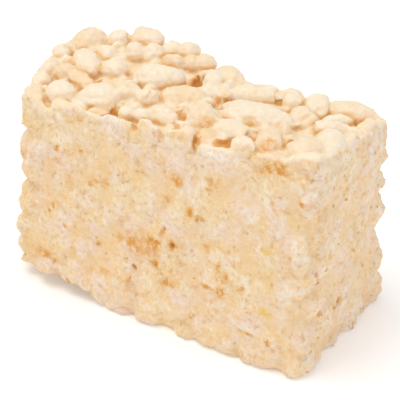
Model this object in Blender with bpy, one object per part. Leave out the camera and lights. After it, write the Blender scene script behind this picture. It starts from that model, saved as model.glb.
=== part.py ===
"""A knife-cut block of puffed rice held together with marshmallow, in metres, +Z up.

The block is cut from a pressed slab. Its top is the slab's own surface of whole grains, its
four sides are cuts through the grains, and it stands on the slab's flat underside. X runs
along the block, and the long side that shows faces -Y.
"""

import math
from collections import namedtuple

import bmesh
import bpy
import numpy as np
from mathutils import Euler, Matrix, Vector

MM = 0.001

# The block between its sharp corners
LENGTH = 50.7 * MM
TOP_WIDTH = 20.8 * MM
FOOT_WIDTH = 24.4 * MM
HEIGHT = 31.1 * MM
MIDDLE = -0.6 * MM  # the middle of the length lies this far along X
TOP_TWIST = 1.5 * MM  # two opposite corners of the top stand up by it, and two sink
LEFT_DRAWN_IN = (1.5 * MM, 4.2 * MM)  # the left end's front corner, at the foot and at the top
BULGE, BULGE_REACH = 1.6 * MM, 5.0 * MM  # of the left end's top, and how wide it is
RIGHT_SKEW = 0.5 * MM  # the right end's foot, in at the front and out at the back
CORNER_RADIUS = 1.9 * MM  # of the upright corners, and how far in the other edges start
FOOT_ROUNDING, TOP_ROUNDING = 0.9 * MM, 1.4 * MM  # how high those edges reach
SWELL = 1.2 * MM  # the back of the top stands up by it, round the place and over the reach below
SWELL_AT, SWELL_REACH = Vector((-15.0, 9.5)) * MM, 10.0 * MM

TO_CENTRE = Vector((0.4, -0.5, 0)) * MM  # brings the finished block's middle over the origin

# The underside stands on a flat, and its left end is torn clear of the surface
LIFT = 2.0 * MM
LIFT_STARTS = -7.5 * MM
LIFT_ENDS = -11.5 * MM

# Whole grains on the top
GRAIN_LENGTH = 6.4 * MM
GRAIN_WIDTH = 4.0 * MM
LEAST_DEPTH, MOST_DEPTH = 2.4 * MM, 3.6 * MM
DEPTH_SHARE = 0.9  # a grain's depth as a share of its width, between those two
CUT_DEPTH = 0.1 * MM  # the knife took the edge grains off this far inside the block,
CUT_STEP, CUT_STEPS = 0.09 * MM, 6  # and a little further in from one grain to the next
CORE_SINK = 1.6 * MM  # the core lies this much under the crowns of the grains
TOP_SEED = 11
TOP_TRIES = 1500
LARGEST, SMALLEST = 1.15, 0.62  # sizes of the grains that fill in, largest first
# The layers that fill in: the share of their two half widths that neighbours keep apart, and
# how far the layer sinks
LAYERS = ((0.8, 0.5 * MM), (0.62, 1.2 * MM))
END_INSET, SIDE_INSET = 1.0 * MM, 0.6 * MM  # the centres keep this far from the cuts
SLENDER, PLUMP = 0.85, 1.1  # lengths start at the one share of the mean, widths at the other
LOWEST_RISE, HIGHEST_RISE = -0.4 * MM, 0.5 * MM
TILT = math.radians(9)  # how far a grain dips at one end, at most
TOP_SIDES, TOP_RINGS = 8, 5

# Cut grains inside the block, which make the relief of its sides
SITE_PITCH = Vector((5.0, 3.9, 3.7)) * MM
SITE_JITTER = 0.42  # of the pitch
SITE_SEED = 5
SITE_HALF_AXES = Vector((3.2, 2.0, 1.75)) * MM
GRID = 1.75 * MM
GAP_DEPTH = 1.3 * MM  # how deep the surface falls between cut grains
GRAIN_STANDS = 0.5 * MM  # how far the cut grains stand out of the mean cut

CREAM = (0.86, 0.67, 0.42)

Grain = namedtuple("Grain", "x y length width heading rise")

# The grains that show on the top: place in mm from the middle, length and width in mm,
# heading in degrees from +X, and how far the crown stands over the top in mm. The last
# stands at the front's broken edge.
LARGE_GRAINS = (
    Grain(-12.0, -5.5, 5.8, 4.8, 15, 0.5),
    Grain(-17.3, -6.5, 4.9, 4.3, -10, 0.5),
    Grain(-14.0, 1.5, 4.1, 3.8, -55, 0.6),
    Grain(-18.9, 1.5, 6.7, 3.7, -35, 0.4),
    Grain(-7.5, 3.1, 7.3, 4.7, 30, 0.5),
    Grain(-1.5, 0.4, 7.4, 4.1, 10, 0.3),
    Grain(-8.4, -2.7, 3.4, 2.8, 30, 0.3),
    Grain(-5.6, -2.8, 3.2, 2.6, 20, 0.3),
    Grain(-5.0, -8.1, 2.4, 2.1, 30, 0.2),
    Grain(-3.0, -7.5, 2.5, 1.9, 15, 0.0),
    Grain(-0.7, -6.0, 5.1, 3.3, -25, 0.2),
    Grain(-22.7, 7.5, 5.1, 4.5, 30, 0.5),
    Grain(-18.9, 8.9, 3.6, 3.4, 35, 0.2),
    Grain(-15.1, 11.1, 5.4, 4.2, 0, 0.4),
    Grain(-24.1, 2.5, 3.9, 2.8, 60, 0.3),
    Grain(-23.3, -1.6, 4.4, 3.2, -50, 0.1),
    Grain(-22.9, -4.3, 3.4, 3.1, -55, 0.0),
    Grain(-21.0, -8.4, 5.2, 3.3, -50, 0.0),
    Grain(-20.6, -1.5, 2.9, 2.9, -55, 0.0),
    Grain(-16.5, -2.8, 5.5, 2.6, -15, 0.1),
    Grain(-17.5, 4.6, 2.9, 2.8, -60, 0.0),
    Grain(-22.5, 5.3, 3.0, 2.5, 40, -0.2),
    Grain(-14.3, 6.7, 3.6, 2.9, -60, 0.2),
    Grain(-11.8, 7.6, 3.5, 3.3, 30, 0.2),
    Grain(-10.2, 10.5, 3.3, 3.0, -60, 0.2),
    Grain(-8.1, 11.7, 3.8, 3.4, -60, 0.3),
    Grain(-4.5, 10.5, 3.9, 3.2, -60, 0.3),
    Grain(-7.8, 7.6, 3.3, 2.4, 20, 0.1),
    Grain(-5.8, 9.1, 2.8, 2.7, -55, 0.0),
    Grain(-1.0, 7.1, 4.7, 3.0, -60, 0.2),
    Grain(0.8, 8.9, 5.4, 3.4, -25, 0.3),
    Grain(5.6, 6.7, 7.8, 4.3, 20, 0.2),
    Grain(11.0, 8.3, 4.8, 3.6, -40, 0.3),
    Grain(15.0, 4.1, 5.6, 3.3, -50, 0.3),
    Grain(10.1, 0.5, 9.9, 4.6, 10, 0.5),
    Grain(11.3, -6.3, 4.8, 2.8, 15, 0.2),
    Grain(13.7, -9.5, 5.2, 2.8, -50, 0.2),
    Grain(15.9, -6.8, 4.9, 4.0, -55, 0.3),
    Grain(20.1, -5.9, 4.9, 4.5, -20, 0.3),
    Grain(22.2, -2.4, 6.6, 4.3, -50, 0.3),
    Grain(20.1, 2.9, 4.9, 2.7, 30, 0.1),
    Grain(19.0, 9.9, 7.3, 4.0, 0, 0.6),
    Grain(14.7, 8.6, 5.9, 3.1, -65, 0.5),
    Grain(23.5, 6.6, 4.6, 3.6, -65, 0.3),
    Grain(23.9, 0.4, 3.8, 3.4, -35, 0.2),
    Grain(3.8, -3.4, 6.1, 5.0, -30, 0.2),
    Grain(7.0, -7.3, 2.9, 2.8, -60, -0.9),
    Grain(5.4, -9.3, 3.5, 2.0, -55, 0.0),
)


def between(low, high, share):
    return low + (high - low) * share


def half_width(z):
    """Half the block's width at height z: the sides lean in from the foot to the top."""
    return between(FOOT_WIDTH, TOP_WIDTH, z / HEIGHT) / 2


def left_end(y, z):
    """Where the left end's cut lies, which leans, is drawn in at the front and bulges on top."""
    to_front = 0.5 - y / FOOT_WIDTH
    bulge = BULGE * math.exp(-((y / BULGE_REACH) ** 2)) * smooth_step(26 * MM, 30 * MM, z)
    return MIDDLE - LENGTH / 2 + to_front * between(*LEFT_DRAWN_IN, z / HEIGHT) - bulge


def right_end(y, z):
    """Where the right end's cut lies, whose foot is skewed."""
    to_back = 2 * y / FOOT_WIDTH
    return MIDDLE + LENGTH / 2 + RIGHT_SKEW * to_back * (1 - z / HEIGHT)


def top_height(x, y):
    """Height of the top: twisted so that opposite corners stand up, with a swell at the back."""
    away = (Vector((x, y)) - SWELL_AT).length / SWELL_REACH
    twist = TOP_TWIST * (x / (LENGTH / 2)) * (y / (TOP_WIDTH / 2))
    return HEIGHT - twist + SWELL * math.exp(-(away**2))


def skewed(point):
    """Carries a point of a straight block into the leaning, twisted one."""
    x, y, z = point
    y *= half_width(z) / (FOOT_WIDTH / 2)
    x = between(left_end(y, z), right_end(y, z), 0.5 + x / LENGTH)
    z *= top_height(x, y) / HEIGHT
    return Vector((x, y, z))


def smooth_step(low, high, value):
    share = min(max((value - low) / (high - low), 0.0), 1.0)
    return share * share * (3 - 2 * share)


def grain_sites():
    """Centres and axes of the grains in the block: a jittered lattice, each turned its own way."""
    draw = np.random.default_rng(SITE_SEED)
    reach = (LENGTH / 2 + SITE_PITCH.x, FOOT_WIDTH / 2 + SITE_PITCH.y)
    counts = (
        math.ceil(2 * reach[0] / SITE_PITCH.x),
        math.ceil(2 * reach[1] / SITE_PITCH.y),
        math.ceil(HEIGHT / SITE_PITCH.z) + 1,
    )
    steps = np.stack(np.meshgrid(*map(np.arange, counts), indexing="ij"), -1).reshape(-1, 3)
    pitch = np.array(SITE_PITCH)
    jitter = draw.uniform(-SITE_JITTER, SITE_JITTER, steps.shape) * pitch
    centres = steps * pitch + jitter - np.array((*reach, 0))
    turns = draw.uniform(-math.pi, math.pi, steps.shape)
    sizes = draw.uniform(0.8, 1.15, len(steps))
    axes = np.array([Euler(turn).to_matrix() for turn in turns])
    axes = axes / (np.array(SITE_HALF_AXES) * sizes[:, None])[:, None, :]
    return centres, axes


def depth_between(point, sites):
    """How far the cut surface falls at a point: nothing on a grain, most where grains part."""
    centres, axes = sites
    reach = np.einsum("ni,nij->nj", np.array(point) - centres, axes)
    nearest = np.sqrt((reach**2).sum(1).min())
    return smooth_step(0.6, 1.5, nearest)


def rounded(point, half, radii):
    """Moves a point of a box's surface onto the same box with round edges, and its way out."""
    limits = half - radii
    inner = Vector(min(max(value, -limit), limit) for value, limit in zip(point, limits))
    outward = Vector(value / radius for value, radius in zip(point - inner, radii)).normalized()
    return inner + Matrix.Diagonal(radii) @ outward, outward


def lifted(x):
    """How far the underside is clear of the surface at x."""
    return LIFT * smooth_step(LIFT_STARTS, LIFT_ENDS, x)


def core_mesh(sites):
    """The pressed mass: a box with round edges, skewed, with grain-sized relief on its sides."""
    size = Vector((LENGTH, FOOT_WIDTH, HEIGHT))
    half = size / 2
    mesh = bmesh.new()
    bmesh.ops.create_cube(mesh, size=2)
    for axis in range(3):
        along = [
            edge
            for edge in mesh.edges
            if abs(edge.verts[0].co[axis] - edge.verts[1].co[axis]) > 1
        ]
        cuts = round(size[axis] / GRID) - 1
        bmesh.ops.subdivide_edges(mesh, edges=along, cuts=cuts, use_grid_fill=True)
    for vert in mesh.verts:
        straight = Vector(value * side for value, side in zip(vert.co, half))
        upright = between(FOOT_ROUNDING, TOP_ROUNDING, 0.5 + straight.z / HEIGHT)
        radii = Vector((CORNER_RADIUS, CORNER_RADIUS, upright))
        point, outward = rounded(straight, half, radii)
        point.z += half.z
        sideways = max(abs(outward.x), abs(outward.y))
        fall = GAP_DEPTH * depth_between(point, sites) - GRAIN_STANDS
        fall *= smooth_step(0.3, 0.9, sideways)
        point -= Vector((outward.x, outward.y, 0)) * fall
        share = point.z / HEIGHT
        point.z -= CORE_SINK * smooth_step(0.55, 1.0, share)
        point = skewed(point)
        point.z += lifted(point.x) * (1 - share) ** 3
        vert.co = point
    return mesh


def outline(grain):
    """Three circles along a grain, as (x, y, radius), which stand for it seen from above."""
    heading = math.radians(grain.heading)
    reach = (grain.length - grain.width) / 2
    return [
        (
            grain.x + step * reach * math.cos(heading),
            grain.y + step * reach * math.sin(heading),
            grain.width / 2,
        )
        for step in (-1, 0, 1)
    ]


def clear_of(grain, others, nestle):
    return all(
        math.dist(one[:2], other[:2]) > nestle * (one[2] + other[2])
        for neighbour in others
        for one in outline(grain)
        for other in outline(neighbour)
    )


def inside_cuts(grain):
    """Whether the knife leaves a grain's middle: what is left of the others is too thin."""
    x, y = grain.x * MM, grain.y * MM
    inset = CUT_DEPTH + CUT_STEP * CUT_STEPS
    within = left_end(y, HEIGHT) + inset < x < right_end(y, HEIGHT) - inset
    return within and y > inset - half_width(HEIGHT)


def top_grains():
    """The large grains, then a seeded rule fills what is free, largest first, in two layers."""
    draw = np.random.default_rng(TOP_SEED)
    grains = list(LARGE_GRAINS)
    half_length = (LENGTH / 2 - END_INSET) / MM
    half_depth = (TOP_WIDTH / 2 - SIDE_INSET) / MM
    for nestle, under in LAYERS:
        for trial in range(TOP_TRIES):
            size = between(LARGEST, SMALLEST, trial / TOP_TRIES)
            x, y, slender, heading, rise = draw.random(5)
            grain = Grain(
                half_length * (2 * x - 1),
                half_depth * (2 * y - 1),
                GRAIN_LENGTH / MM * size * (SLENDER + 0.3 * slender),
                GRAIN_WIDTH / MM * size * (PLUMP - 0.2 * slender),
                180 * heading,
                (between(LOWEST_RISE, HIGHEST_RISE, rise) - under) / MM,
            )
            if inside_cuts(grain) and clear_of(grain, grains, nestle):
                grains.append(grain)
    return grains


def ellipsoid(sides, rings, half_axes, turn, centre):
    """A closed ball of few sides, stretched to its half axes, turned and placed."""
    mesh = bmesh.new()
    placed = Matrix.Translation(centre) @ turn.to_4x4() @ Matrix.Diagonal((*half_axes, 1))
    lying = Matrix.Rotation(math.pi / 2, 4, "Y")
    bmesh.ops.create_uvsphere(
        mesh, u_segments=sides, v_segments=rings, radius=1, matrix=placed @ lying
    )
    return mesh


def kept_inside(point, inset):
    """Cuts a grain flush with the front and the two ends; at the back it may stand out."""
    point.y = max(point.y, inset - half_width(point.z))
    point.x = max(point.x, left_end(point.y, point.z) + inset)
    point.x = min(point.x, right_end(point.y, point.z) - inset)
    return point


def top_grain_mesh(grain, number):
    x, y = grain.x * MM, grain.y * MM
    depth = min(max(DEPTH_SHARE * grain.width * MM, LEAST_DEPTH), MOST_DEPTH)
    half_axes = (grain.length / 2 * MM, grain.width / 2 * MM, depth / 2)
    crown = top_height(x, y) + grain.rise * MM
    dip = TILT * math.sin(2.4 * number)
    turn = Euler((0, dip, math.radians(grain.heading))).to_matrix()
    mesh = ellipsoid(TOP_SIDES, TOP_RINGS, half_axes, turn, Vector((x, y, crown - half_axes[2])))
    inset = CUT_DEPTH + CUT_STEP * (number % CUT_STEPS)
    for vert in mesh.verts:
        vert.co = kept_inside(vert.co, inset)
    return mesh


def object_of(mesh, name, collection):
    data = bpy.data.meshes.new(name)
    mesh.to_mesh(data)
    mesh.free()
    made = bpy.data.objects.new(name, data)
    collection.objects.link(made)
    return made


def fuse(block, pieces):
    """Joins every object of the collection onto the block, then removes them."""
    union = block.modifiers.new("fused_grains", "BOOLEAN")
    union.operation = "UNION"
    union.solver = "EXACT"
    union.operand_type = "COLLECTION"
    union.collection = pieces
    with bpy.context.temp_override(object=block, active_object=block):
        bpy.ops.object.modifier_apply(modifier=union.name)
    for piece in list(pieces.objects):
        bpy.data.objects.remove(piece)
    bpy.data.collections.remove(pieces)


def drop_scraps(block):
    """Keeps the block's largest body: a hollow sealed by the grains is filled, a scrap goes."""
    mesh = bmesh.new()
    mesh.from_mesh(block.data)
    unseen, bodies = set(mesh.faces), []
    while unseen:
        body, newest = set(), {next(iter(unseen))}
        while newest:
            body |= newest
            edges = {edge for face in newest for edge in face.edges}
            newest = {face for edge in edges for face in edge.link_faces} - body
        unseen -= body
        bodies.append(body)
    for scrap in sorted(bodies, key=len)[:-1]:
        bmesh.ops.delete(mesh, geom=list(scrap), context="FACES")
    mesh.to_mesh(block.data)
    mesh.free()


def puffed_rice_material():
    made = bpy.data.materials.new("puffed_rice_and_marshmallow")
    made.use_nodes = True
    shader = made.node_tree.nodes["Principled BSDF"]
    shader.inputs["Base Color"].default_value = (*CREAM, 1)
    shader.inputs["Roughness"].default_value = 0.6
    shader.inputs["Metallic"].default_value = 0.0
    return made


def build():
    for old in list(bpy.data.objects):
        bpy.data.objects.remove(old)
    scene = bpy.context.scene.collection
    sites = grain_sites()
    block = object_of(core_mesh(sites), "marshmallow_square", scene)
    pieces = bpy.data.collections.new("grains")
    scene.children.link(pieces)
    for number, grain in enumerate(top_grains()):
        object_of(top_grain_mesh(grain, number), f"top_grain_{number}", pieces)
    fuse(block, pieces)
    drop_scraps(block)
    block.data.transform(Matrix.Translation(TO_CENTRE))
    block.data.shade_smooth()
    block.data.set_sharp_from_angle(angle=math.radians(50))
    block.data.materials.clear()
    block.data.materials.append(puffed_rice_material())


build()
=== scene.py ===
"""A knife-cut block of puffed rice and marshmallow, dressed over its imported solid.

Whole grains lie on the top in a film of marshmallow, and the sides are crumbly cuts through
the pressed mass. Every length is in metres. The frame's block stands on z = 0, with its long
shown side towards -Y.
"""

import itertools
import math
from collections import namedtuple
from functools import partial, reduce

import bmesh
import bpy
import numpy as np
from bpy.props import FloatProperty, FloatVectorProperty, IntProperty, PointerProperty
from bpy.types import Operator, Panel, PropertyGroup
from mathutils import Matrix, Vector


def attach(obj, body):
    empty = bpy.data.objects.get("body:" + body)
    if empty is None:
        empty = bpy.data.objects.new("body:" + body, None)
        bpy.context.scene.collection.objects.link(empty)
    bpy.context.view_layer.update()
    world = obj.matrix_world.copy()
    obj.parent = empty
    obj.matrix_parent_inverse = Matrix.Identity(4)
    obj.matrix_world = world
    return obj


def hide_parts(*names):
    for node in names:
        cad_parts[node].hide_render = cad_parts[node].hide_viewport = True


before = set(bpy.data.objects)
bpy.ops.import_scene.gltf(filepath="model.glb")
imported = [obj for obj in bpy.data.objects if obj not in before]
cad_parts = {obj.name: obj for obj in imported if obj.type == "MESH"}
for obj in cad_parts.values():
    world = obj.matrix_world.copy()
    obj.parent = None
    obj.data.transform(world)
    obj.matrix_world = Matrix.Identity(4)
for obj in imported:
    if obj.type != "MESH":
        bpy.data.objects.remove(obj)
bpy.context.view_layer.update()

bl_info = {
    "name": "Marshmallow square",
    "version": (1, 0, 0),
    "blender": (4, 5, 0),
    "location": "View3D > Sidebar > Sweets",
    "description": "Builds a cut block of puffed rice and marshmallow over its packed solid",
    "category": "Add Mesh",
}

MM = 0.001
NODE = "marshmallow_square"

SLAB_FOOT = 5.0 * MM  # how far under the top's level the slab under the grains reaches
JOIN = 4.1 * MM  # how far under it the top's cut faces give way to the mass's sides
HOLE_EDGE = 0.25 * MM  # how widely the holes' edges are rounded
PROBES = (0.8 * MM, 1.6 * MM)  # how far over the skin the gaps between grains are felt for
WRINKLES = ((0.06 * MM, 2.2 * MM, 81), (0.05 * MM, 1.0 * MM, 82))  # height, length and seed
WELD, CRUMB_WELD = 0.005 * MM, 0.001 * MM
CRUMB_SEED = 31

Grain = namedtuple("Grain", "x y length width heading rise pale")
Hole = namedtuple("Hole", "x y long short heading depth")
Notch = namedtuple("Notch", "way up reach depth")

# The grains that show on the top: place, length and width in mm, heading in degrees from +X,
# how far the crown stands over the top in mm, and how pale the grain is. The last five stand at
# the front's broken edge. The solid has them all but four of those.
LARGE_GRAINS = (
    Grain(-12.0, -5.5, 5.8, 4.8, 15, 0.5, 0.9),
    Grain(-17.3, -6.5, 4.9, 4.3, -10, 0.5, 0.95),
    Grain(-14.0, 1.5, 4.1, 3.8, -55, 0.6, 0.9),
    Grain(-18.9, 1.5, 6.7, 3.7, -35, 0.4, 0.75),
    Grain(-7.5, 3.1, 7.3, 4.7, 30, 0.5, 1.0),
    Grain(-1.5, 0.4, 7.4, 4.1, 10, 0.3, 0.35),
    Grain(-8.4, -2.7, 3.4, 2.8, 30, 0.3, 0.5),
    Grain(-5.6, -2.8, 3.2, 2.6, 20, 0.3, 0.8),
    Grain(-5.0, -8.1, 2.4, 2.1, 30, 0.2, 0.9),
    Grain(-3.0, -7.5, 2.5, 1.9, 15, 0.0, 0.9),
    Grain(-0.7, -6.0, 5.1, 3.3, -25, 0.2, 0.7),
    Grain(-22.7, 7.5, 5.1, 4.5, 30, 0.5, 0.35),
    Grain(-18.9, 8.9, 3.6, 3.4, 35, 0.2, 0.85),
    Grain(-15.1, 11.1, 5.4, 4.2, 0, 0.4, 0.6),
    Grain(-24.1, 2.5, 3.9, 2.8, 60, 0.3, 0.7),
    Grain(-23.3, -1.6, 4.4, 3.2, -50, 0.1, 0.6),
    Grain(-22.9, -4.3, 3.4, 3.1, -55, 0.0, 0.8),
    Grain(-21.0, -8.4, 5.2, 3.3, -50, 0.0, 0.4),
    Grain(-20.6, -1.5, 2.9, 2.9, -55, 0.0, 0.3),
    Grain(-16.5, -2.8, 5.5, 2.6, -15, 0.1, 0.3),
    Grain(-17.5, 4.6, 2.9, 2.8, -60, 0.0, 0.9),
    Grain(-22.5, 5.3, 3.0, 2.5, 40, -0.2, 0.1),
    Grain(-14.3, 6.7, 3.6, 2.9, -60, 0.2, 0.6),
    Grain(-11.8, 7.6, 3.5, 3.3, 30, 0.2, 0.7),
    Grain(-10.2, 10.5, 3.3, 3.0, -60, 0.2, 0.7),
    Grain(-8.1, 11.7, 3.8, 3.4, -60, 0.3, 0.7),
    Grain(-4.5, 10.5, 3.9, 3.2, -60, 0.3, 0.5),
    Grain(-7.8, 7.6, 3.3, 2.4, 20, 0.1, 0.3),
    Grain(-5.8, 9.1, 2.8, 2.7, -55, 0.0, 0.3),
    Grain(-1.0, 7.1, 4.7, 3.0, -60, 0.2, 0.8),
    Grain(0.8, 8.9, 5.4, 3.4, -25, 0.3, 0.4),
    Grain(5.6, 6.7, 7.8, 4.3, 20, 0.2, 0.8),
    Grain(11.0, 8.3, 4.8, 3.6, -40, 0.3, 0.6),
    Grain(15.0, 4.1, 5.6, 3.3, -50, 0.3, 0.6),
    Grain(10.1, 0.5, 9.9, 4.6, 10, 0.5, 0.85),
    Grain(11.3, -6.3, 4.8, 2.8, 15, 0.2, 0.6),
    Grain(13.7, -9.5, 5.2, 2.8, -50, 0.2, 0.8),
    Grain(15.9, -6.8, 4.9, 4.0, -55, 0.3, 0.4),
    Grain(20.1, -5.9, 4.9, 4.5, -20, 0.3, 0.5),
    Grain(22.2, -2.4, 6.6, 4.3, -50, 0.3, 0.8),
    Grain(20.1, 2.9, 4.9, 2.7, 30, 0.1, 0.9),
    Grain(19.0, 9.9, 7.3, 4.0, 0, 0.6, 0.5),
    Grain(14.7, 8.6, 5.9, 3.1, -65, 0.5, 0.8),
    Grain(23.5, 6.6, 4.6, 3.6, -65, 0.3, 0.6),
    Grain(23.9, 0.4, 3.8, 3.4, -35, 0.2, 0.6),
    Grain(3.8, -3.4, 6.1, 5.0, -30, 0.2, 0.5),
    Grain(7.0, -7.3, 2.9, 2.8, -60, -0.9, 0.0),
    Grain(-6.3, -10.7, 6.4, 3.3, 5, -0.5, 0.9),
    Grain(-0.8, -10.1, 2.7, 2.4, -40, -0.1, 0.8),
    Grain(4.6, -10.7, 3.3, 2.7, 40, -0.2, 0.8),
    Grain(5.4, -9.3, 3.5, 2.0, -55, 0.0, 0.5),
    Grain(10.6, -11.2, 4.6, 3.1, 15, -1.5, 1.0),
)

# Deep holes between the grains, where the toasted marshmallow shows, with painted shade that
# darkens them the deeper they are: place, half length and half width in mm, heading in degrees,
# and depth in mm
HOLES = (
    Hole(-22.2, 2.7, 1.3, 0.7, 150, 1.4),
    Hole(-14.6, -2.0, 1.3, 0.7, 160, 1.8),
    Hole(-17.1, -1.5, 2.1, 0.4, 165, 1.0),
    Hole(-21.4, -3.5, 1.1, 0.4, 135, 1.0),
    Hole(-7.7, -5.8, 1.0, 0.6, 125, 1.6),
    Hole(-7.4, -8.1, 1.4, 0.8, 120, 2.0),
    Hole(-8.6, -9.0, 1.6, 0.9, 15, 1.5),
    Hole(-7.8, -7.8, 2.2, 0.6, 62, 2.5),
    Hole(-2.4, -10.2, 1.2, 0.6, 100, 1.7),
    Hole(1.9, -10.6, 1.2, 0.5, 90, 2.4),
    Hole(1.1, -4.6, 1.5, 0.6, 135, 1.7),
    Hole(3.1, -8.1, 1.4, 1.0, 150, 1.6),
    Hole(7.1, -10.6, 1.7, 0.6, 95, 2.8),
    Hole(10.6, -8.8, 1.9, 0.9, 10, 2.0),
    Hole(2.5, 2.3, 1.0, 0.8, 145, 1.9),
    Hole(5.0, 2.3, 2.0, 1.1, 40, 2.4),
    Hole(4.7, -0.3, 1.4, 0.6, 140, 1.2),
    Hole(-3.0, 5.8, 1.9, 1.3, 110, 2.4),
    Hole(-5.7, 6.8, 0.8, 0.6, 145, 1.1),
    Hole(-8.0, 6.0, 0.9, 0.6, 145, 1.0),
    Hole(-12.1, 2.7, 0.8, 0.7, 135, 0.9),
    Hole(-3.3, -1.7, 0.6, 0.6, 125, 0.5),
    Hole(10.4, -2.4, 0.8, 0.6, 130, 1.2),
    Hole(13.3, -6.5, 1.3, 0.6, 115, 1.3),
    Hole(17.5, -4.7, 1.5, 0.9, 105, 2.6),
    Hole(17.2, -2.4, 1.0, 0.7, 85, 1.3),
    Hole(18.8, -1.2, 1.3, 0.7, 115, 1.2),
    Hole(21.8, 6.3, 1.0, 0.6, 105, 0.9),
    Hole(9.6, 7.3, 0.9, 0.6, 115, 1.6),
    Hole(11.3, 5.1, 1.3, 0.4, 135, 0.9),
    Hole(15.4, 1.5, 1.5, 0.7, 70, 1.1),
    Hole(16.3, 5.4, 1.5, 0.8, 95, 1.2),
    Hole(-17.0, 6.9, 0.9, 0.7, 80, 0.9),
    Hole(-17.2, 9.7, 0.9, 0.8, 130, 1.2),
    Hole(-4.1, -4.1, 0.9, 0.4, 125, 0.8),
    Hole(12.6, -4.1, 0.8, 0.4, 155, 0.8),
)

# The broken edge between the front and the top: places along X, and how far under the top the
# edge lies there, both in mm
BROKEN_EDGE = (
    (-26.0, 0.5), (-20.5, 0.3), (-17.0, 1.0), (-14.5, 0.8), (-12.0, 0.4), (-10.0, 0.6),
    (-7.0, 0.5), (-3.6, 0.6), (-2.8, 1.3), (-1.9, 1.3), (-1.4, 0.2), (0.0, 0.2), (1.2, 0.9),
    (1.8, 2.3), (2.3, 1.8), (2.8, 0.8), (4.0, 0.3), (5.6, 0.2), (6.4, 0.5), (6.8, 2.6),
    (7.5, 2.4), (7.9, 1.7), (10.0, 1.6), (13.2, 1.6), (14.2, 2.2), (15.0, 2.2), (15.8, 1.4),
    (20.0, 1.2), (22.0, 1.2), (24.6, 0.7), (27.0, 0.4),
)

# Toasted, dark, buttery and pale spots of each side: place along it and up it in mm (on the
# top, along X and Y), reach both ways in mm, and strength
FRONT, RIGHT, TOP = "front", "right", "top"
TOASTED = {
    FRONT: (
        (-1.4, 12.6, 3.3, 2.1, 1.05),
        (0.6, 13.8, 1.3, 0.8, 1.3),
        (2.1, 15.2, 0.7, 0.8, 0.7),
        (4.1, 14.2, 1.0, 0.7, 1.1),
        (1.0, 10.3, 0.8, 0.7, 1.1),
        (-5.4, 12.5, 1.0, 0.8, 1.0),
        (-9.2, 10.2, 0.6, 0.5, 1.1),
        (3.1, 7.9, 1.6, 0.9, 0.8),
        (-8.0, 6.1, 1.7, 1.0, 0.6),
        (-3.4, 5.6, 1.4, 0.8, 0.5),
        (3.7, 23.6, 1.0, 0.7, 1.1),
        (2.3, 20.4, 0.9, 0.9, 0.9),
        (6.3, 19.8, 0.6, 0.9, 1.1),
        (9.6, 24.5, 1.1, 1.4, 0.8),
        (-8.9, 20.6, 1.8, 0.4, 1.0),
        (-11.0, 19.5, 1.1, 0.4, 0.8),
        (-10.4, 17.6, 0.9, 0.6, 0.7),
        (-17.3, 23.9, 0.6, 0.4, 1.2),
        (-17.4, 21.7, 1.2, 0.4, 1.1),
        (-19.8, 4.6, 2.9, 1.0, 1.0),
        (-17.3, 3.9, 0.9, 0.9, 1.1),
        (19.0, 29.3, 1.9, 1.3, 1.1),
        (16.6, 28.2, 1.6, 0.9, 0.9),
        (18.2, 28.4, 3.2, 2.2, 0.4),
        (23.4, 24.9, 0.7, 0.4, 1.2),
        (9.3, 15.0, 1.1, 0.6, 1.1),
        (11.6, 12.8, 0.4, 1.0, 1.0),
        (12.8, 11.6, 0.5, 0.9, 1.0),
        (13.6, 11.0, 0.6, 0.4, 0.9),
        (9.9, 9.6, 1.1, 0.5, 1.1),
        (12.2, 9.3, 0.9, 0.8, 1.2),
        (15.3, 10.3, 0.6, 0.6, 0.9),
        (17.2, 4.8, 1.0, 0.4, 1.0),
        (20.3, 4.1, 0.5, 0.5, 1.0),
    ),
    RIGHT: (
        (-1.8, 6.9, 0.8, 0.5, 0.9),
        (-6.8, 16.4, 0.5, 0.7, 0.7),
        (-3.0, 24.2, 0.8, 0.5, 0.6),
        (3.2, 20.8, 0.7, 0.4, 0.7),
    ),
    TOP: (
        (16.4, -8.4, 1.2, 1.4, 0.8),
        (5.8, -5.4, 1.4, 1.5, 0.8),
        (4.6, -7.6, 1.7, 1.0, 0.7),
        (2.4, -1.0, 1.2, 0.8, 0.5),
    ),
}
PITS = {
    FRONT: (
        (3.8, 13.9, 0.6, 0.5, 1.1),
        (-2.8, 8.2, 0.4, 0.5, 0.85),
        (-9.7, 9.8, 0.4, 0.35, 0.7),
        (1.0, 9.9, 0.5, 0.3, 0.6),
        (-2.9, 23.4, 0.4, 0.2, 0.6),
        (23.4, 24.9, 0.35, 0.2, 0.6),
        (-6.4, 26.8, 0.3, 0.3, 0.6),
    ),
    RIGHT: ((-1.8, 6.9, 0.5, 0.35, 0.7),),
}
BUTTERY = {
    FRONT: (
        (18.9, 17.2, 0.6, 0.5, 1.0),
        (19.3, 8.7, 0.8, 0.8, 0.8),
        (-2.6, 23.5, 0.6, 0.3, 0.5),
        (21.8, 22.4, 1.0, 1.6, 0.3),
        (20.0, 14.0, 1.4, 4.5, 0.16),
    ),
    TOP: (
        (18.8, -1.4, 0.8, 1.1, 1.0),
        (21.8, 6.3, 0.6, 0.9, 0.7),
        (10.4, -2.4, 0.8, 0.6, 0.4),
    ),
}
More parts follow.
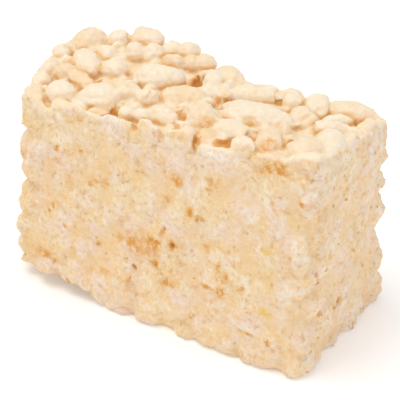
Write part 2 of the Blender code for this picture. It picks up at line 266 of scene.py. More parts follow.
PALE = {
    FRONT: (
        (10.2, 29.0, 2.4, 0.9, 1.0),
        (-7.0, 29.7, 3.2, 0.5, 0.9),
        (4.6, 29.9, 1.6, 1.0, 0.8),
        (-0.8, 30.4, 0.8, 0.6, 0.8),
        (14.0, 29.6, 0.9, 1.2, 0.7),
        (-3.6, 8.8, 0.8, 0.7, 1.1),
        (11.3, 9.9, 1.1, 0.6, 1.0),
        (10.0, 12.2, 0.9, 0.5, 0.8),
        (-2.9, 16.4, 1.1, 0.5, 0.8),
        (22.8, 12.7, 1.3, 0.9, 1.0),
        (23.2, 19.6, 0.9, 1.6, 0.9),
        (23.0, 27.0, 1.4, 1.6, 0.7),
        (22.0, 8.6, 1.0, 0.7, 0.6),
        (-16.6, 9.4, 1.0, 0.5, 0.7),
    ),
    RIGHT: ((-2.5, 29.5, 1.6, 0.7, 0.7),),
}

# Notches in the two corners that make the outline: -1 for the front left corner or 1 for the
# back right one, then the notch's height, reach and depth in mm
NOTCHES = (
    Notch(-1, 25.0, 1.1, 1.2),
    Notch(-1, 16.1, 1.2, 1.4),
    Notch(1, 23.4, 1.4, 1.0),
    Notch(1, 13.8, 1.7, 1.1),
)


def linear(code):
    """An sRGB hex colour in linear light, opaque: each channel over 0.04 is
    ((c + 0.055) / 1.055) ^ 2.4."""
    channels = np.array([int(code[start : start + 2], 16) for start in (1, 3, 5)]) / 255
    curved = ((channels + 0.055) / 1.055) ** 2.4
    return (*np.where(channels > 0.04045, curved, channels / 12.92).tolist(), 1.0)


def length(name, description, default):
    return FloatProperty(
        name=name, description=description, default=default, unit="LENGTH", precision=5
    )


def colour(name, description, code):
    return FloatVectorProperty(
        name=name, description=description, default=linear(code), subtype="COLOR", size=4
    )


class BlockSizes(PropertyGroup):
    length: length("Length", "Length of the block between its cuts", 50.7 * MM)
    top_width: length("Top width", "Width of the block at its top", 20.8 * MM)
    foot_width: length("Foot width", "Width of the block at its foot", 24.4 * MM)
    height: length("Height", "Mean height of the grains' crowns", 31.1 * MM)
    middle: length("Middle", "Where the middle of the length lies along X", -0.6 * MM)
    twist: length("Twist", "How far opposite corners of the top stand up", 1.5 * MM)
    drawn_in_foot: length("Drawn in, foot", "Front left corner's inset at the foot", 1.5 * MM)
    drawn_in_top: length("Drawn in, top", "Front left corner's inset at the top", 4.2 * MM)
    right_skew: length("Right skew", "How far the right end's foot is skewed", 0.5 * MM)
    swell: length("Swell", "How far the back left of the top stands up", 1.2 * MM)
    swell_reach: length("Swell reach", "How wide that swell is", 10.0 * MM)
    bulge: length("Bulge", "How far the left cut's top bulges", 2.0 * MM)
    bulge_reach: length("Bulge reach", "How wide that bulge is", 6.0 * MM)
    corner: length("Corner", "Radius of the upright corners", 2.4 * MM)
    rounding: length("Rounding", "How far in the foot's and the top's round edges start", 1.2 * MM)
    foot_rounding: length("Foot rounding", "Height of the foot's round edge", 0.9 * MM)
    top_rounding: length("Top rounding", "Height of the top's round edge", 0.5 * MM)
    lift: length("Lift", "How far the left of the underside is clear of the surface", 2.0 * MM)
    across: length("Move across", "Brings the middle of the block over the origin", 0.4 * MM)
    back: length("Move back", "Brings the middle of the block over the origin", -0.5 * MM)


class GrainSizes(PropertyGroup):
    length: length("Length", "Mean length of a puffed grain", 6.4 * MM)
    width: length("Width", "Mean width of a puffed grain", 4.0 * MM)
    depth: length("Depth", "Most depth of a puffed grain", 3.6 * MM)
    puff: FloatProperty(
        name="Puff", description="A grain's size against its outline on the top", default=1.05
    )
    fillet: length("Fillet", "How widely the marshmallow rounds the gaps", 0.18 * MM)
    floor: length("Floor", "How deep the gaps between grains reach", 1.9 * MM)
    rim_floor: length("Rim floor", "How deep they reach at the two ends", 0.5 * MM)
    cut_edge: length("Cut edge", "How widely the front's edge is rounded", 0.45 * MM)
    end_edge: length("End edge", "How widely the two ends' edges are rounded", 0.65 * MM)
    bits: IntProperty(name="Bits", description="Small bits in the gaps of the top", default=45)
    voxel: length("Voxel", "Step of the remesh that unites the grains", 0.22 * MM)
    seed: IntProperty(name="Seed", description="Draw of the grains that fill in", default=11)


class CutSizes(PropertyGroup):
    gap: length("Gap", "How deep the cut falls between grains", 1.2 * MM)
    stand: length("Stand", "How far cut grains stand out of the mean cut", 0.45 * MM)
    flatness: FloatProperty(
        name="Flatness", description="Share of that relief away from corners and foot", default=0.4
    )
    crumb: length("Crumb", "Width of the coarse crumbs of the cut", 1.5 * MM)
    crumb_relief: length("Crumb relief", "How far they stand out", 0.2 * MM)
    fine: length("Fine crumb", "Width of the fine crumbs of the cut", 0.7 * MM)
    fine_relief: length("Fine relief", "How far they stand out", 0.13 * MM)
    wave: length("Wave", "Width of the slow waves of the cut", 5.0 * MM)
    wave_relief: length("Wave relief", "How far they stand out", 0.22 * MM)
    pit: length("Pit", "How deep the small pits are", 0.8 * MM)
    pressed: length("Pressed", "How far the underside rises between grains", 0.9 * MM)
    loose: IntProperty(name="Loose", description="Crumbs that cling to the cuts", default=500)


class Finish(PropertyGroup):
    white: colour("White", "Air-filled heart of a puffed grain", "#f8eddb")
    foam: colour("Foam", "Crushed puffed rice", "#f2dbb2")
    blush: colour("Blush", "Crushed puffed rice that is a little pinker", "#f0d8c3")
    cream: colour("Cream", "Puffed rice soaked with marshmallow", "#e9c99b")
    # honey, the next colour, tan, caramel and deep are also laid where the skin closes over the
    # top's valleys, down the holes' walls, in the pits and in the crumbs' recesses: there they are
    # partly marshmallow and toast, partly painted shade
    honey: colour("Honey", "Patches of marshmallow on the cuts", "#f2cc94")
    amber_and_valley_shade: colour("Amber", "Marshmallow that has run down between grains", "#f7d8a6")
    tan: colour("Tan", "Toasted puffed rice", "#e4aa5e")
    caramel: colour("Caramel", "Toasted marshmallow in the gaps", "#d9902e")
    deep: colour("Deep", "Bottom of the deepest gaps", "#a8641a")
    butter: colour("Butter", "Specks of butter", "#edc552")
    grain_pale: colour("Pale grain", "The palest whole grains", "#f6e5ca")
    grain_warm: colour("Warm grain", "The warmest whole grains", "#f0d3a8")
    floor: colour("Floor", "Plain pale floor", "#fbfaf8")


class MarshmallowSquare(PropertyGroup):
    block: PointerProperty(type=BlockSizes)
    grains: PointerProperty(type=GrainSizes)
    cut: PointerProperty(type=CutSizes)
    finish: PointerProperty(type=Finish)


# Patterns


def between(low, high, share):
    return low + (high - low) * share


def smooth_step(low, high, value):
    share = np.clip((value - low) / (high - low), 0, 1)
    return share * share * (3 - 2 * share)


def hashed(cells, seed):
    """A repeatable number from 0 to 1 for each whole cell: its three indices times large odd
    numbers, joined by exclusive or, then shifted and multiplied once more."""
    whole = cells.astype(np.int64)
    mixed = (whole[..., 0] * 73856093) ^ (whole[..., 1] * 19349663) ^ (whole[..., 2] * 83492791)
    mixed = (mixed ^ (seed * 2654435761)) & 0xFFFFFFFF
    mixed = ((mixed ^ (mixed >> 13)) * 1540483477) & 0xFFFFFFFF
    mixed = ((mixed ^ (mixed >> 15)) * 668265263) & 0xFFFFFFFF
    return (mixed ^ (mixed >> 14)) / 2**32


def blotches(points, size, seed):
    """Smooth noise from 0 to 1: the draws of a point's eight lattice corners, blended by eased
    shares along the three axes."""
    scaled = points / size
    base = np.floor(scaled)
    share = scaled - base
    share = share * share * (3 - 2 * share)
    total = np.zeros(points.shape[:-1])
    for corner in itertools.product((0, 1), repeat=3):
        weight = np.where(np.array(corner, bool), share, 1 - share).prod(-1)
        total += weight * hashed(base + corner, seed)
    return total


def layered(points, size, seed, layers=4):
    """Noise from -1 to 1: blotches of half the size and half the strength added each time."""
    total = sum(
        (blotches(points, size / 2**layer, seed + layer) - 0.5) / 2**layer
        for layer in range(layers)
    )
    return total * 2 / (2 - 0.5 ** (layers - 1))


def ripples(points, size, seed, count=12):
    """Smooth lumps from about -1 to 1: a sum of plane waves that run all ways at random, each
    about `size` long."""
    draw = np.random.default_rng(seed)
    ways = draw.normal(size=(count, 3))
    ways /= np.linalg.norm(ways, axis=1, keepdims=True)
    ways *= 2 * math.pi / (size * draw.uniform(0.7, 1.5, (count, 1)))
    return np.sin(points @ ways.T + draw.uniform(0, 2 * math.pi, count)).sum(-1) / count**0.5


def cells_at(points, size, seed):
    """Distances to the nearest and the second nearest of a jittered lattice's centres, in
    lattice steps, and a draw of the nearest."""
    scaled = points / size
    base = np.floor(scaled)
    nearest = np.full(points.shape[:-1], 9.0)
    second = nearest.copy()
    draw = np.zeros_like(nearest)
    for step in itertools.product((-1, 0, 1), repeat=3):
        cell = base + step
        centre = cell + np.stack([hashed(cell, seed + axis) for axis in range(3)], -1)
        away = np.linalg.norm(scaled - centre, axis=-1)
        closer = away < nearest
        second = np.where(closer, nearest, np.minimum(second, away))
        draw = np.where(closer, hashed(cell, seed + 3), draw)
        nearest = np.where(closer, away, nearest)
    return nearest, second, draw


# The block's form, as in the solid

BULGE_FROM, BULGE_TO = 26 * MM, 30 * MM  # heights between which the left cut's bulge comes in
SWELL_X, SWELL_Y = -15.0 * MM, 9.5 * MM


def half_width(block, z):
    """The sides lean in evenly from the foot to the top."""
    return between(block.foot_width, block.top_width, z / block.height) / 2


def left_end(block, y, z):
    """The left cut leans, is drawn in at the front, and bulges at its top in a bell curve."""
    to_front = 0.5 - y / block.foot_width
    inset = between(block.drawn_in_foot, block.drawn_in_top, z / block.height)
    bulge = block.bulge * np.exp(-((y / block.bulge_reach) ** 2))
    bulge = bulge * smooth_step(BULGE_FROM, BULGE_TO, z)
    return block.middle - block.length / 2 + to_front * inset - bulge


def right_end(block, y, z):
    """The right cut's foot is skewed, in at the front and out at the back."""
    to_back = 2 * y / block.foot_width
    return block.middle + block.length / 2 + block.right_skew * to_back * (1 - z / block.height)


def top_height(block, x, y):
    """Twisted so that opposite corners stand up, with a bell-shaped swell at the back left."""
    away = np.hypot(x - SWELL_X, y - SWELL_Y) / block.swell_reach
    twist = block.twist * (x / (block.length / 2)) * (y / (block.top_width / 2))
    return block.height - twist + block.swell * np.exp(-(away**2))


def skewed(block, points):
    """Carries points of a straight block into the leaning one; the height is stretched apart."""
    x, y, z = np.moveaxis(points, -1, 0)
    y = y * half_width(block, z) / (block.foot_width / 2)
    x = between(left_end(block, y, z), right_end(block, y, z), 0.5 + x / block.length)
    return np.stack((x, y, z), -1)


# Grains


def outline(grain):
    """Three circles along a grain, as (x, y, radius), which stand for it seen from above."""
    heading = math.radians(grain.heading)
    reach = (grain.length - grain.width) / 2
    east, north = reach * math.cos(heading), reach * math.sin(heading)
    steps = (-1, 0, 1)
    return [(grain.x + step * east, grain.y + step * north, grain.width / 2) for step in steps]


def clear_of(grain, others, nestle):
    return all(
        math.dist(one[:2], other[:2]) > nestle * (one[2] + other[2])
        for neighbour in others
        for one in outline(grain)
        for other in outline(neighbour)
    )


# The rule for the grains that fill in, as in the solid: tries in a layer, sizes, and in each
# layer how far neighbours nestle and how far it sinks, in mm
TRIES = 1500
LARGEST, SMALLEST = 1.15, 0.62
LAYERS = ((0.8, 0.5), (0.62, 1.2))
END_INSET, SIDE_INSET = 1.0 * MM, 0.6 * MM
HOLE_NESTLE = 0.8
# A grain's depth as a share of its width, and how far it tips at most
DEPTH_SHARE, LEAST_DEPTH = 0.9, 2.4 * MM
TIP, TIP_STEP = math.radians(9), 2.4
# Bits: how far in from the cuts, how far apart, how deep their gap is at least, how far they
# are from a hole, and their least and most half axes
BIT_TRIES, BIT_INSET, BIT_APART = 2500, np.array((1.2, 1.0)) * MM, 1.7 * MM
BIT_SUNK, BIT_CLEAR = 1.1 * MM, 0.6 * MM
BIT_LEAST, BIT_MOST = np.array(((0.9, 0.7, 0.8), (1.6, 1.0, 1.0))) * MM


def top_grains(block, sizes):
    """The large grains, then the solid's seeded rule fills what is free, largest first, here
    also clear of the holes."""
    draw = np.random.default_rng(sizes.seed)
    grains = list(LARGE_GRAINS)
    half_length = (block.length / 2 - END_INSET) / MM
    half_depth = (block.top_width / 2 - SIDE_INSET) / MM
    holes = [Grain(h.x, h.y, 2 * h.long, 2 * h.short, h.heading, 0, 0) for h in HOLES]
    for nestle, under in LAYERS:
        for trial in range(TRIES):
            size = between(LARGEST, SMALLEST, trial / TRIES)
            x, y, slender, heading, rise = draw.random(5)
            grain = Grain(
                half_length * (2 * x - 1),
                half_depth * (2 * y - 1),
                sizes.length / MM * size * (0.85 + 0.3 * slender),
                sizes.width / MM * size * (1.1 - 0.2 * slender),
                180 * heading,
                between(-0.4, 0.5, rise) - under,
                between(0.2, 0.9, rise),
            )
            if clear_of(grain, grains, nestle) and clear_of(grain, holes, HOLE_NESTLE):
                grains.append(grain)
    return grains


GrainForm = namedtuple(
    "GrainForm", "centre turn half bend blunt taper crease crease_at waves phases strengths"
)
WAVE_RATES = np.array((2.0, 2.6, 3.2, 4.0, 5.0, 6.5))  # radians from a grain's middle outward
WAVE_STRENGTHS = np.array((0.04, 0.035, 0.03, 0.025, 0.02, 0.015))
CREASE_WIDTH = 0.35


def turned(angles):
    """Rotation matrices for turns about X, then Y, then Z."""
    (cx, cy, cz), (sx, sy, sz) = np.cos(angles).T, np.sin(angles).T
    rows = (
        (cy * cz, sx * sy * cz - cx * sz, cx * sy * cz + sx * sz),
        (cy * sz, sx * sy * sz + cx * cz, cx * sy * sz - sx * cz),
        (-sy, sx * cy, cx * cy),
    )
    return np.moveaxis(np.array(rows), -1, 0)


def puffed(draw, centre, turn, half):
    """A grain's own form, drawn at random: how it bends, how blunt and how tapered it is, its
    crease, and the waves that swell it."""
    ways = draw.normal(size=(6, 3))
    return GrainForm(
        centre=centre,
        turn=turn,
        half=half,
        bend=draw.uniform((-0.1, -0.1), (0.1, 0.02)),
        blunt=draw.uniform(1.9, 2.3),
        taper=draw.uniform(-0.2, 0.2),
        crease=draw.uniform(0.0, 0.14),
        crease_at=draw.uniform(0.3, math.pi - 0.3),
        waves=ways / np.linalg.norm(ways, axis=1, keepdims=True) * WAVE_RATES[:, None],
        phases=draw.uniform(0, 2 * math.pi, 6),
        strengths=draw.uniform(0.5, 1, 6) * WAVE_STRENGTHS,
    )


def top_skin(block, sizes):
    """The skin over the top: its grains, each in its own form, then small bits in their gaps."""
    grains = top_grains(block, sizes)
    draw = np.random.default_rng(sizes.seed + 1)
    rows = np.array(grains)
    crowns = top_height(block, rows[:, 0] * MM, rows[:, 1] * MM) + rows[:, 5] * MM
    dips = TIP * np.sin(TIP_STEP * np.arange(len(rows)))
    turns = turned(np.stack((dips * 0, dips, np.radians(rows[:, 4])), -1))
    depths = np.clip(DEPTH_SHARE * rows[:, 3], LEAST_DEPTH / MM, sizes.depth / MM)
    halves = np.stack((rows[:, 2] * sizes.puff, rows[:, 3] * sizes.puff, depths), -1) * MM / 2
    centres = np.stack((rows[:, 0] * MM, rows[:, 1] * MM, crowns - halves[:, 2]), -1)
    forms = [puffed(draw, *placed) for placed in zip(centres, turns, halves)]

    reach = np.array((block.length, block.top_width)) / 2 - BIT_INSET
    places = draw.uniform(-reach, reach, (BIT_TRIES, 2))
    edges = (sizes.cut_edge, sizes.end_edge)
    skin = Skin(block, forms, [], sizes.fillet, sizes.floor, sizes.rim_floor, edges)
    heights = skin_height(skin, places[:, 0], places[:, 1])
    sunk = top_height(block, places[:, 0], places[:, 1]) - heights
    to_hole = holes_at(block, np.column_stack((places, heights)))[0]
    bits = []
    for place, height, deep, clear in zip(places, heights, sunk, to_hole):
        if deep < BIT_SUNK or clear < BIT_CLEAR or len(bits) >= sizes.bits:
            continue
        if all(math.dist(place, other) > BIT_APART for other in bits):
            bits.append(place)
            half = draw.uniform(BIT_LEAST, BIT_MOST)
            turn = turned(draw.uniform((-0.5, -0.5, -3), (0.5, 0.5, 3), (1, 3)))[0]
            centre = np.array((*place, height + draw.uniform(-0.4, 0.1) * MM))
            forms.append(puffed(draw, centre, turn, half))
    skin.pale.extend([*rows[:, 6], *draw.uniform(0.3, 1.0, len(bits))])
    return skin


def swell(form, directions):
    """How far a grain's surface is from its middle along unit directions, in half axes: a
    rounded box's radius, one end thinner than the other, pinched by a long crease, and
    swollen by slow plane waves."""
    along = directions[..., 0]
    around = np.hypot(directions[..., 1], directions[..., 2])
    radius = (np.abs(along) ** form.blunt + around**form.blunt) ** (-1 / form.blunt)
    turn = np.arctan2(directions[..., 2], directions[..., 1])
    apart = (turn - form.crease_at + math.pi) % (2 * math.pi) - math.pi
    crease = form.crease * np.exp(-((apart / CREASE_WIDTH) ** 2)) * around**2
    waves = np.sin(directions @ form.waves.T + form.phases) @ form.strengths
    return radius * (1 + form.taper * along * around) * (1 - crease) * (1 + waves)


def bent(form, local, way=1):
    """Bends a grain sideways and down as the square of the place along it."""
    bow = local[..., :1] ** 2 / form.half[0] * form.bend * way
    return np.concatenate((local[..., :1], local[..., 1:] + bow), -1)


def grain_surface(form, directions):
    local = directions * swell(form, directions)[..., None] * form.half
    return bent(form, local) @ form.turn.T + form.centre


def gap_to(form, points):
    """Distance from points to a grain's surface, measured along the line to its middle and
    negative inside."""
    local = bent(form, (points - form.centre) @ form.turn, -1)
    scaled = local / form.half
    away = np.linalg.norm(scaled, axis=-1) + 1e-9
    return np.linalg.norm(local, axis=-1) * (1 - swell(form, scaled / away[..., None]) / away)


Skin = namedtuple("Skin", "block forms pale fillet floor rim_floor edges")

# How far in from a cut the floor between the grains starts to sink and is at its full depth,
# which comes sooner at the front, up to between two places along X
SINK_FROM, SINK_TO, SINK_SOONER = 0.3 * MM, 4.0 * MM, 1.8 * MM
SOONER_TO, SOONER_FROM = 14 * MM, 17 * MM
CORNER_BLEND = 1 * MM
FLOOR_WAVES = (0.3 * MM, 4.0 * MM, 95)  # height, length and seed
GRAIN_REACH = 1.2 * MM  # how far from its box a grain's weight is still worked out
LADDER_TOP, LADDER_FOOT, RUNGS = 1.8 * MM, 2.2 * MM, 26
NUDGE, LONGEST_MOVE = 0.02 * MM, 0.4 * MM


def from_cuts(block, x, y, z):
    """How far in from the front, and from the nearer of the two ends."""
    left, right = x - left_end(block, y, z), right_end(block, y, z) - x
    return y + half_width(block, z), np.minimum(left, right)


def floor_depth(skin, x, front, end):
    """How far under the top the floor between the grains lies. Its edges lie as the front's
    broken edge, by straight lines between its places, and evenly at the ends, with a smooth
    change at the corners. From there it sinks to its full depth, sooner at the front's left."""
    places, depths = np.array(BROKEN_EDGE).T * MM
    to_front = smooth_step(-CORNER_BLEND, CORNER_BLEND, end - front)
    edge = between(skin.rim_floor, np.interp(x, places, depths), to_front)
    sooner = to_front * smooth_step(SOONER_FROM, SOONER_TO, x)
    full = between(SINK_TO, SINK_SOONER, sooner)
    sunk = smooth_step(SINK_FROM, full, np.minimum(front, end))
    return between(edge, skin.floor, sunk)


def floor_gap(skin, points):
    """Height over the uneven floor between the grains."""
    x, y, z = points.T
    front, end = from_cuts(skin.block, x, y, z)
    height, size, seed = FLOOR_WAVES
    uneven = height * ripples(points * (1, 1, 0), size, seed)
    return z - top_height(skin.block, x, y) - uneven + floor_depth(skin, x, front, end)


def grain_weights(skin, points, worths=None):
    """The sum over the grains of the exponential of minus the distance to each, in fillets,
    times what each is worth."""
    total = np.zeros(len(points))
    for number, form in enumerate(skin.forms):
        reach = form.half[0] + GRAIN_REACH
        close = np.flatnonzero((np.abs(points - form.centre) < reach).all(-1))
        weight = np.exp(-gap_to(form, points[close]) / skin.fillet)
        total[close] += weight if worths is None else weight * worths[number]
    return total


def fused(skin, weights, floor):
    """Distance to the one skin of the grains and the floor: minus the logarithm of the sum of
    the exponentials of minus the distances to each, which rounds the gaps by the fillet."""
    return -skin.fillet * np.log(weights + np.exp(-np.clip(floor / skin.fillet, -30, 30)))


def skin_gap(skin, points):
    """Distance to the top's skin, negative inside: the grains and the floor fused. The holes
    and the cuts are taken away by the logarithm of the sum of the exponentials of both
    distances, which rounds their edges."""
    flat = points.reshape(-1, 3)
    x, y, z = flat.T
    front, end = from_cuts(skin.block, x, y, z)
    floor = np.maximum(floor_gap(skin, flat), y - half_width(skin.block, z))
    gap = fused(skin, grain_weights(skin, flat), floor)
    gap = HOLE_EDGE * np.logaddexp(gap / HOLE_EDGE, -holes_at(skin.block, flat)[0] / HOLE_EDGE)
    for edge, inward in zip(skin.edges, (front, end)):
        gap = edge * np.logaddexp(gap / edge, -inward / edge)
    return gap.reshape(points.shape[:-1])


def skin_height(skin, x, y):
    """Height of that skin over places of the top: the first crossing on the way down, by a
    straight line between the rungs of a ladder."""
    ladder = np.linspace(-LADDER_TOP, skin.floor + LADDER_FOOT, RUNGS)
    steps = ladder.reshape(-1, *[1] * x.ndim)
    level = top_height(skin.block, x, y)
    gap = skin_gap(skin, np.stack(np.broadcast_arrays(x, y, level - steps), -1))
    rung = np.maximum((gap <= 0).argmax(0), 1)
    high = np.take_along_axis(gap, rung[None] - 1, 0)[0]
    low = np.take_along_axis(gap, rung[None], 0)[0]
    share = np.clip(high / np.maximum(high - low, 1e-9), 0, 1)
    return level - between(ladder[rung - 1], ladder[rung], share)


def relaxed(points, faces):
    """Each point moved halfway to the mean of the middles of the faces round it."""
    middles = points[faces].mean(1)
    corners = faces.ravel()
    count = np.bincount(corners, minlength=len(points))[:, None]
    spread_out = np.repeat(middles, 4, axis=0)
    sums = [np.bincount(corners, spread_out[:, axis], len(points)) for axis in range(3)]
    return between(points, np.stack(sums, -1) / np.maximum(count, 1), 0.5)


def onto_skin(skin, points, faces, steps):
    """Moves points onto the skin step by step, each time relaxed, then moved by the distance
    over the slope; also returns the outward directions. Points well under the floor stay."""
    for _ in range(steps):
        points = relaxed(points, faces)
        down = top_height(skin.block, points[:, 0], points[:, 1]) - points[:, 2]
        gap = skin_gap(skin, points)
        slope = np.stack([skin_gap(skin, points + step) - gap for step in np.eye(3) * NUDGE], -1)
        steep = np.linalg.norm(slope, axis=-1) / NUDGE + 1e-9
        outward = slope / (steep * NUDGE)[:, None]
        move = np.clip(gap / steep, -LONGEST_MOVE, LONGEST_MOVE)
        move *= smooth_step(JOIN + 0.5 * MM, JOIN, down)
        points = points - outward * move[:, None]
    return points, outward


GRAIN_RINGS, GRAIN_TURNS = 26, 22
SLAB_ROWS = 16


def grain_directions():
    """Unit directions as (ring, turn, xyz), from one tip to the other, closer at the tips."""
    t = np.linspace(0, np.pi, GRAIN_RINGS)[:, None]
    a = np.linspace(0, 2 * np.pi, GRAIN_TURNS, endpoint=False)[None, :]
    return np.stack((-np.cos(t) + 0 * a, np.sin(t) * np.cos(a), np.sin(t) * np.sin(a)), -1)


def slab(skin):
    """A slab under the top, as points (row, step, xyz): the block's outline, drawn in to its
    spine, first under all the grains and then up at the floor between them. It is a little
    narrower below and wider above."""
    block = skin.block
    around, outward = girth(block)
    inward = np.concatenate((np.linspace(1, 0, SLAB_ROWS), np.linspace(0, 1, SLAB_ROWS)))
    height, wider = np.repeat(((-SLAB_FOOT, 0), (-1.5 * MM, 0.8 * MM)), SLAB_ROWS, axis=1)
    inside = smooth_step(0.0, 2.4 * MM, inward * block.top_width / 2)
    height[SLAB_ROWS:] = between(-1.0 * MM, 0.3 * MM - skin.floor, inside[SLAB_ROWS:])
    edge = around[None] + wider[:, None, None] * outward
    flat = between(edge, spine(block, around)[None], inward[:, None, None])
    top = np.full((*flat.shape[:2], 1), block.height)
    points = skewed(block, np.concatenate((flat, top), -1))
    x, y, _ = np.moveaxis(points, -1, 0)
    return np.stack((x, y, top_height(block, x, y) + height[:, None]), -1)


def remeshed(points, faces, voxel):
    """Points and quads of the one closed skin that a voxel remesh draws round closed meshes."""
    mesh = bpy.data.meshes.new("forms")
    mesh.from_pydata(points, [], faces)
    body = bpy.data.objects.new("forms", mesh)
    bpy.context.scene.collection.objects.link(body)
    remesh = body.modifiers.new("Union", "REMESH")
    remesh.mode = "VOXEL"
    remesh.voxel_size = voxel
    drawn = body.evaluated_get(bpy.context.evaluated_depsgraph_get()).to_mesh()
    points = np.empty(3 * len(drawn.vertices))
    corners = np.empty(len(drawn.loops), int)
    drawn.vertices.foreach_get("co", points)
    drawn.loops.foreach_get("vertex_index", corners)
    bpy.data.objects.remove(body)
    bpy.data.meshes.remove(mesh)
    return points.reshape(-1, 3), corners.reshape(-1, 4)


def united_grains(skin, voxel):
    """Points and faces of the top's skin, and its outward directions. The grains, a little
    swollen so that near ones meet, and the slab under them are united and moved onto the
    skin. That is done twice, as the first time stretches the faces in the holes."""
    swollen = [form._replace(half=form.half + 1.3 * skin.fillet) for form in skin.forms]
    grains = np.array([grain_surface(form, grain_directions()) for form in swollen])
    under = slab(skin)
    faces = wrapped_faces(GRAIN_RINGS, GRAIN_TURNS, len(grains))
    start = grains.size // 3
    faces = np.concatenate((faces, wrapped_faces(2 * SLAB_ROWS, GIRTH_STEPS) + start))
    points = np.concatenate((grains.reshape(-1, 3), under.reshape(-1, 3)))
    for steps in (6, 4):
        points, faces = remeshed(points, faces, voxel)
        points, outward = onto_skin(skin, points, faces, steps)
    return points, faces, outward


def kept_inside(block, points, inset):
    """Cuts the top flush with the front and the two ends, less an inset, and rounds the
    upright corners: the part of a point past both corner centres is shortened to the corner's
    radius."""
    x, y, z = np.moveaxis(points, -1, 0)
    y = np.maximum(y, inset - half_width(block, z))
    x = np.maximum(x, left_end(block, y, z) + inset)
    x = np.minimum(x, right_end(block, y, z) - inset)
    centre_y = block.corner - half_width(block, z)
    for way, end in ((-1, left_end), (1, right_end)):
        centre_x = end(block, y, z) - way * block.corner
        past_x = np.maximum(way * (x - centre_x), 0)
        past_y = np.maximum(centre_y - y, 0)
        reach = block.corner - inset
        share = np.minimum(1, reach / np.maximum(np.hypot(past_x, past_y), 1e-9))
        both = (past_x > 0) & (past_y > 0)
        x = np.where(both, centre_x + way * past_x * share, x)
        y = np.where(both, centre_y - past_y * share, y)
    return np.stack((x, y, z), -1)


# How far the holes' outlines waver and how long a wave is, how far from a hole's wall and
# between which depths the toast and painted shade come in, and the depth of the darkest hole in mm
WAVER, WAVER_SIZE = 0.3 * MM, 1.8 * MM
TOAST_SHADE_FROM, TOAST_SHADE_TO = 1.0 * MM, 0.05 * MM
TOAST_SHADE_TOP, TOAST_SHADE_FOOT = 0.4 * MM, 1.5 * MM
DARKEST = 2.4


def holes_at(block, points):
    """Distance to the nearest hole, negative inside, and how dark the holes' walls are there.
    A hole is an ellipsoid round a place at the top's level, measured as the grains are, and
    its outline wavers; its wall is darker further down, and the more so the deeper it is: toasted
    marshmallow with painted shade."""
    x, y, z = points.T
    down = top_height(block, x, y) - z
    x = x + WAVER * ripples(points, WAVER_SIZE, 41)
    y = y + WAVER * ripples(points, WAVER_SIZE, 42)
    nearest = np.full(len(points), 9 * MM)
    dark = np.zeros(len(points))
    for hole in HOLES:
        heading = math.radians(hole.heading)
        east, north = x - hole.x * MM, y - hole.y * MM
        along = east * math.cos(heading) + north * math.sin(heading)
        across = north * math.cos(heading) - east * math.sin(heading)
        local = np.stack((along, across, down), -1)
        away = np.linalg.norm(local / (np.array(hole[2:4] + hole[5:]) * MM), axis=-1) + 1e-9
        gap = np.linalg.norm(local, axis=-1) * (1 - 1 / away)
        nearest = np.minimum(nearest, gap)
        toast_and_shade = smooth_step(TOAST_SHADE_FROM, TOAST_SHADE_TO, gap) * smooth_step(TOAST_SHADE_TOP, TOAST_SHADE_FOOT, down)
        dark = np.maximum(dark, hole.depth / DARKEST * toast_and_shade)
    return nearest, dark


IN_GAP, DEEP = (0.05, 0.35), (1.5 * MM, 2.1 * MM)  # crevice or depth where the holes' toast and painted shade come in
TRIM = (0.2 * MM, 0.6 * MM)  # how far under the uncut skin a place counts as cut through
CUT_SUNK = 0.1 * MM


def coated_top(block, sizes, cut):
    """The top's points, faces and what its surface shows there.

    A gap between grains shows by how close the skin is over it: the distance at each probe
    over the probe's length. That closeness lays painted shade over the valleys, partly
    marshmallow run down. Long and short ripples wrinkle the coat. Where the uncut skin lies
    past the cuts, it is trimmed: it shows the cut look, and has the mass's crumbs and notches.
    Holes are darkened where they are deep or in a gap: toasted marshmallow with painted shade.
    """
    skin = top_skin(block, sizes)
    points, faces, outward = united_grains(skin, sizes.voxel)
    weights = grain_weights(skin, points) + 1e-6
    close = [1 - skin_gap(skin, points + reach * outward) / reach for reach in PROBES]
    crevice = np.clip(np.mean(close, axis=0), 0, 1)
    tone = grain_weights(skin, points, skin.pale) / weights
    to_hole, dark = holes_at(block, points)
    down = top_height(block, points[:, 0], points[:, 1]) - points[:, 2]
    # Holes darken where the skin closes over them and further down: toasted marshmallow with
    # painted shade
    hole_toast_and_shade = dark * np.maximum(smooth_step(*IN_GAP, crevice), smooth_step(*DEEP, down))

    wrinkle = sum(height * ripples(points, size, seed) for height, size, seed in WRINKLES)
    points = points + wrinkle[:, None] * outward
    crumb, fine, draw = crumbs_at(cut, points)
    relief = cut.crumb_relief * crumb + cut.fine_relief * fine - CUT_SUNK
    relief -= notched(block, points)
    uncut = np.maximum(fused(skin, weights, floor_gap(skin, points)), -to_hole)
    trim = smooth_step(*TRIM, -uncut)
    inset = smooth_step(JOIN, JOIN + 0.5 * MM, down) * MM - relief * trim
    points = kept_inside(block, points + (relief * trim)[:, None] * outward, inset)
    spots = {"toast": TOASTED, "butter": BUTTERY, "pit": PITS, "pale": PALE}
    shows = {name: spread(table, points) for name, table in spots.items()}
    # depth is how closely the skin closes over a place: it lays painted shade over the valleys,
    # partly marshmallow run down
    shows |= {"depth": crevice * (1 - trim), "tone": between(tone, draw, trim)}
    return points, faces, shows | {"hole_toast_and_shade": hole_toast_and_shade, "cut": trim}


# The cut mass

SITE_PITCH = np.array((5.0, 3.9, 3.7)) * MM
SITE_HALF = np.array((3.2, 2.0, 1.75)) * MM
SITE_JITTER, SITE_SEED = 0.42, 5


